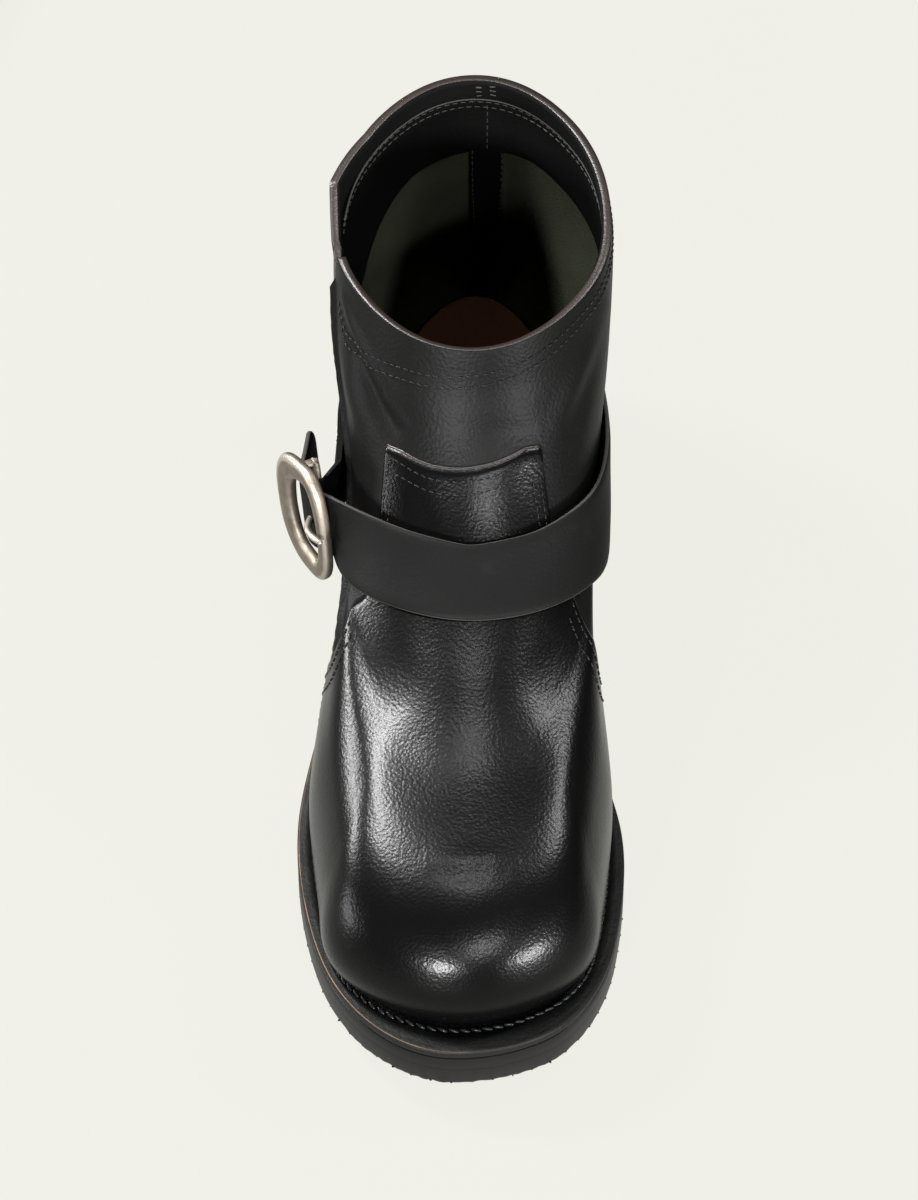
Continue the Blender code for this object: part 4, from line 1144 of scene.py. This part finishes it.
places = np.array([side_of_form(row[0], row[1]) for row in CHAPE_TAIL])
tail_line = form_point(places[:, 0], places[:, 1])
tail_way = np.gradient(tail_line, axis=0)
tail_way /= np.linalg.norm(tail_way, axis=1, keepdims=True)
tail_side = buckle_axes()[2] - tail_way * (tail_way @ buckle_axes()[2])[:, None]
tail_side /= np.linalg.norm(tail_side, axis=1, keepdims=True)
tail_lift = np.array([row[3] + row[2] + 0.0001 for row in CHAPE_TAIL])
chape_lines = []
for width in (-0.0100, 0.0100):
    at, out = walk_on_form(places[:, 0], places[:, 1], tail_way, tail_side, np.full(len(places), width))
    chape_lines.append((at + out * tail_lift[:, None])[:5])
chape_lines.append(np.linspace(chape_lines[0][0], chape_lines[1][0], 12))
chape_lines.append(np.linspace(chape_lines[0][4], chape_lines[1][4], 12))
chape_seam = made_by_nodes(
    "chape_stitches", STITCHES, chape_lines,
    {"Pitch": 0.0028, "Length": 0.0022, "Thickness": 0.0006,
     "Thread": thread_finish("white_thread", (0.22, 0.215, 0.20), 0.6)},
)
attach(chape_seam, "root")


# Welt
# The strip of black leather sewn to the upper and the midsole. Coarse black stitches lie in its groove and
# the dye is rubbed off its outer corner, where a line of tan leather shows.

# Outline of the sole: share of the length, half widths on the outer and the inner side by the ball's width
SOLE_OUTLINE = [
    (0.02, 0.183, 0.238), (0.07, 0.327, 0.391), (0.16, 0.441, 0.483), (0.31, 0.500, 0.497),
    (0.46, 0.431, 0.366), (0.62, 0.361, 0.312), (0.80, 0.356, 0.342), (0.94, 0.262, 0.257),
]
WELT_THICK = 0.0035
MIDSOLE_THICK = 0.0062
FOREPART_DEPTH = 0.0187
SHANK_DEPTH = 0.0140
SOLE_DEPTH = [(0.0, 0.0), (0.40, 0.0), (0.48, 0.25), (0.58, 1.0), (0.80, 1.0), (1.0, 1.0)]
SOLE_TURN = np.linspace(-math.pi, math.pi, 480, endpoint=False)


def sole_outline(angle):
    """Outline of the sole; angle 0 is the toe, pi the heel, negative the lateral side."""
    share = (1.0 - np.cos(angle)) / 2.0
    knots = [0.0] + [row[0] for row in SOLE_OUTLINE] + [1.0]
    half = np.zeros(np.shape(angle))
    for column, here in ((1, angle < 0), (2, angle >= 0)):
        full = [row[column] / round_end(np.array(row[0])) for row in SOLE_OUTLINE]
        curve = spline(knots, [full[0]] + full + [full[-1]], share)
        half = np.where(here, curve, half)
    x = np.sign(angle) * half * round_end(share) * BALL_WIDTH
    return np.stack([x, place_y(share)], -1)


def moved_in(loop, distance):
    """A closed outline moved inwards by a distance."""
    ahead = np.roll(loop, -1, axis=0) - np.roll(loop, 1, axis=0)
    normal = np.stack([ahead[:, 1], -ahead[:, 0]], -1)
    normal /= np.linalg.norm(normal, axis=1, keepdims=True)
    if ((loop - loop.mean(axis=0)) * normal).sum() > 0:
        normal = -normal
    return loop + normal * np.reshape(distance, (-1, 1))


def sole_bottom(share):
    blend = table_line(SOLE_DEPTH, share)
    depth = FOREPART_DEPTH + (SHANK_DEPTH - FOREPART_DEPTH) * blend
    return np.maximum(sole_top(share) - depth, 0.0)


def sole_loop(inset, height):
    flat = moved_in(sole_outline(SOLE_TURN), inset)
    return np.column_stack([flat, height(share_of(flat[:, 1]))])


def foot_loop(inset, rise):
    line = form_point(np.zeros(len(SOLE_TURN)), SOLE_TURN)[:, :2]
    flat = moved_in(line, inset)
    return np.column_stack([flat, sole_top(share_of(flat[:, 1])) + rise])


def welt_finish():
    finish = Finish("welt_leather")
    grain = finish.noise(900.0, 4.0, 0.6)
    patch = finish.noise(120.0, 3.0, 0.5)
    colour = finish.mixed(grain, (0.0012, 0.0012, 0.0012), (0.0036, 0.0034, 0.0032))
    rubbed = finish.ramp(finish.attribute("edge") + 0.35 * patch, 0.85, 1.1)
    tan = finish.mixed(patch, (0.050, 0.024, 0.010), (0.110, 0.065, 0.033))
    colour = finish.mixed(rubbed, colour, tan)
    roughness = 0.42 + 0.25 * grain
    normal = finish.bump(grain, 0.0003, 0.7)
    return finish.set(Base_Color=colour, Roughness=roughness, Normal=normal, Specular_IOR_Level=0.10)


def below_top(drop):
    """Height under the top of the sole, for a loop."""
    return lambda share: sole_top(share) - drop


# Section of the welt's outer side: inset, drop below the top of the sole, and share of rubbed edge
WELT_SECTION = [
    (0.0016, 0.0, 0.0), (0.0008, 0.0, 0.30), (0.0005, 0.0001, 1.0), (0.0002, 0.0004, 0.35),
    (0.0, 0.0010, 0.0), (0.0, 0.0024, 0.0), (0.0003, 0.0034, 0.0),
]

# Section of the welt's top from the upper outwards: share of the way to its edge, and rise
WELT_TOP = [
    (0.14, -0.0007), (0.28, -0.0009), (0.40, -0.0006), (0.55, -0.0001), (0.75, 0.0002), (0.90, 0.0001),
]

loops = []
marks = []
side_worn = np.clip(0.35 + 0.65 * np.cos(SOLE_TURN + 0.75), 0.0, 1.0)
for inset, drop, mark in WELT_SECTION:
    loops.append(sole_loop(inset, below_top(drop)))
    marks.append(mark * side_worn)
loops.append(foot_loop(0.0070, -WELT_THICK))
loops.append(foot_loop(0.0070, 0.0))
loops.append(foot_loop(-0.0002, -0.0006))
outer_line = sole_loop(0.0016, sole_top)
inner_line = foot_loop(-0.0006, -0.0006)
for blend, rise in WELT_TOP:
    loop = inner_line * (1.0 - blend) + outer_line * blend
    loop[:, 2] = sole_top(share_of(loop[:, 1])) + rise + 0.00012 * ripple(loop, 0.004, 9)
    loops.append(loop)
while len(marks) < len(loops):
    marks.append(np.zeros(len(SOLE_TURN)))
mesh = shell_mesh("welt", loops, True, [welt_finish()], edge=np.concatenate(marks))
welt = add_piece("welt_strip", mesh)
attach(welt, "root")
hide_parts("welt")

groove = inner_line * 0.66 + outer_line * 0.34
groove[:, 2] = sole_top(share_of(groove[:, 1])) + 0.0001
shown = np.abs(np.degrees(SOLE_TURN)) < 128.0
welt_seam = made_by_nodes(
    "welt_stitches", STITCHES, [groove[shown]],
    {"Pitch": 0.0034, "Length": 0.0034, "Thickness": 0.00125, "Slant": 0.35,
     "Thread": thread_finish("waxed_welt_thread", (0.0036, 0.0039, 0.0042), 0.30)},
)
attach(welt_seam, "root")


# Midsole and outsole
# Two black rubber layers cemented under the welt. Their sides are ground smooth, the outsole's lower edge is
# ragged with small crumbs left by the moulding, and its underside is plain.
def rubber_finish(name, tone, gloss):
    finish = Finish(name)
    grain = finish.noise(700.0, 4.0, 0.6)
    broad = finish.noise(45.0, 3.0, 0.5)
    dust = finish.ramp(finish.attribute("edge") + 0.5 * broad, 0.7, 1.3)
    colour = finish.mixed(broad, tuple(0.8 * c for c in tone), tuple(1.25 * c for c in tone))
    colour = finish.mixed(dust * 0.5, colour, (0.0140, 0.0125, 0.0110))
    roughness = gloss + 0.14 * grain + 0.12 * dust
    normal = finish.bump(grain, 0.00012, 0.5)
    return finish.set(Base_Color=colour, Roughness=roughness, Normal=normal, Specular_IOR_Level=0.08)


def ladder_cap(start, count):
    """Flat rungs across a loop that starts at the heel and runs round by the toe."""
    faces = []
    for i in range(count // 2):
        corners = list(dict.fromkeys([i, i + 1, (count - i - 1) % count, (count - i) % count]))
        faces.append(tuple(start + corner for corner in corners))
    return faces


def plate_piece(name, loops, marks):
    """A closed plate from its loops, flat at both ends."""
    count = len(loops[0])
    mesh = shell_mesh(name, loops, False, [SOLE_RUBBER], edge=np.concatenate(marks))
    work = bmesh.new()
    work.from_mesh(mesh)
    work.verts.ensure_lookup_table()
    for face in ladder_cap(0, count) + ladder_cap(count * (len(loops) - 1), count):
        made = work.faces.new([work.verts[k] for k in face])
        made.smooth = False
    bmesh.ops.recalc_face_normals(work, faces=work.faces)
    work.to_mesh(mesh)
    work.free()
    mesh.set_sharp_from_angle(angle=math.radians(40.0))
    piece = add_piece(name, mesh)
    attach(piece, "root")
    return piece


SOLE_RUBBER = rubber_finish("sole_rubber", (0.0032, 0.0031, 0.0030), 0.36)
flat = np.zeros(len(SOLE_TURN))
foot = WELT_THICK + MIDSOLE_THICK

# Loops of the midsole from below: inset, drop below the top of the sole
MIDSOLE_LOOPS = [
    (0.0, foot + 0.0001), (0.0, foot - 0.0020), (0.0, WELT_THICK + 0.0012), (0.0002, WELT_THICK + 0.0006),
    (0.0008, WELT_THICK + 0.0003),
]
midsole_loops = [sole_loop(inset, below_top(drop)) for inset, drop in MIDSOLE_LOOPS]
midsole = plate_piece("midsole_layer", midsole_loops, [flat] * 5)
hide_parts("midsole")


def above_bottom(rise):
    """Height over the underside of the sole, for a loop."""
    return lambda share: sole_bottom(share) + rise


rng = np.random.default_rng(21)
ragged = np.convolve(rng.uniform(-1.0, 1.0, len(SOLE_TURN) + 2), [0.25, 0.5, 0.25], "valid")
outsole_loops = [
    sole_loop(0.0040, sole_bottom),
    sole_loop(0.0016 + 0.0004 * ragged, above_bottom(0.0001)),
    sole_loop(0.0004 + 0.0004 * ragged, above_bottom(0.0009)),
    sole_loop(0.0, above_bottom(0.0022)),
    sole_loop(0.0, below_top(foot + 0.0009)),
    sole_loop(0.0, below_top(foot + 0.0002)),
]
outsole_marks = [flat + share for share in (1.0, 1.0, 0.8, 0.2, 0.0, 0.0)]
outsole = plate_piece("outsole_layer", outsole_loops, outsole_marks)
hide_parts("outsole")


def nib_shape(tree, given, spaced):
    """A small rubber crumb, each with its own random length, width and height."""
    nodes = tree.nodes
    link = tree.links.new
    lump = nodes.new("GeometryNodeMeshIcoSphere")
    lump.inputs["Radius"].default_value = 0.5
    lump.inputs["Subdivisions"].default_value = 1
    chosen = nodes.new("FunctionNodeRandomValue")
    chosen.data_type = "FLOAT_VECTOR"
    chosen.inputs["Min"].default_value = (0.2, 0.2, 0.2)
    chosen.inputs["Max"].default_value = (1.3, 1.6, 1.2)
    chosen.inputs["Seed"].default_value = 5
    size = nodes.new("ShaderNodeVectorMath")
    size.operation = "SCALE"
    link(chosen.outputs["Value"], size.inputs[0])
    link(given.outputs["Size"], size.inputs["Scale"])
    return lump.outputs["Mesh"], spaced.outputs["Rotation"], size.outputs["Vector"]


NIBS = laid_tree("moulding_nibs", (("Pitch", 0.0045), ("Size", 0.0008)), "Rubber", nib_shape)
nib_line = sole_loop(0.0002, above_bottom(0.0012))
nibs = made_by_nodes(
    "outsole_nibs", NIBS, [np.concatenate([nib_line, nib_line[:1]])],
    {"Pitch": 0.0063, "Size": 0.0009, "Rubber": SOLE_RUBBER}, False,
)
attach(nibs, "root")


# Heel
# A stacked block of black lifts with a worn rubber top piece under it, both the source's own solids.
# The joints between the lifts show as fine lines.
LIFT_THICK = 0.0031


def stack_finish():
    finish = Finish("heel_stack_edge")
    lines = finish.node("ShaderNodeMath", {"operation": "PINGPONG"}, {0: finish.axis("Z"), 1: LIFT_THICK})
    joint = 1.0 - finish.ramp(lines, 0.0, 0.00035)
    grain = finish.noise(800.0, 4.0, 0.6)
    colour = finish.mixed(grain, (0.0030, 0.0029, 0.0028), (0.0065, 0.0061, 0.0058))
    colour = finish.mixed(joint, colour, (0.003, 0.003, 0.003))
    roughness = 0.40 + 0.15 * grain + 0.2 * joint
    normal = finish.bump(grain - 3.0 * joint, 0.00015, 0.6)
    return finish.set(Base_Color=colour, Roughness=roughness, Normal=normal, Specular_IOR_Level=0.08)


recoat("heel_stack", stack_finish())
recoat("heel_lift", rubber_finish("heel_rubber", (0.0038, 0.0038, 0.0037), 0.5))


# Insole
# Tan leather board that lies inside on the sole, seen at the bottom of the shaft; its colour holds painted
# shade, as dark as the shade deep in the shaft.
# It has darker marks where the foot has rested.
def insole_with_painted_shade():
    finish = Finish("insole_leather_painted_shade")
    fibre = finish.noise(700.0, 5.0, 0.65)
    broad = finish.noise(30.0, 3.0, 0.5)
    # Both colours are tan darkened with painted shade of the deep shaft.
    colour = finish.mixed(broad, (0.0120, 0.0044, 0.0018), (0.0230, 0.0088, 0.0034))
    colour = finish.mixed(finish.ramp(fibre, 0.55, 0.8) * 0.4, colour, (0.0060, 0.0028, 0.0015))
    roughness = 0.62 + 0.2 * fibre
    normal = finish.bump(fibre, 0.0002, 0.6)
    return finish.set(Base_Color=colour, Roughness=roughness, Normal=normal, Specular_IOR_Level=0.04)


recoat("insole", insole_with_painted_shade())
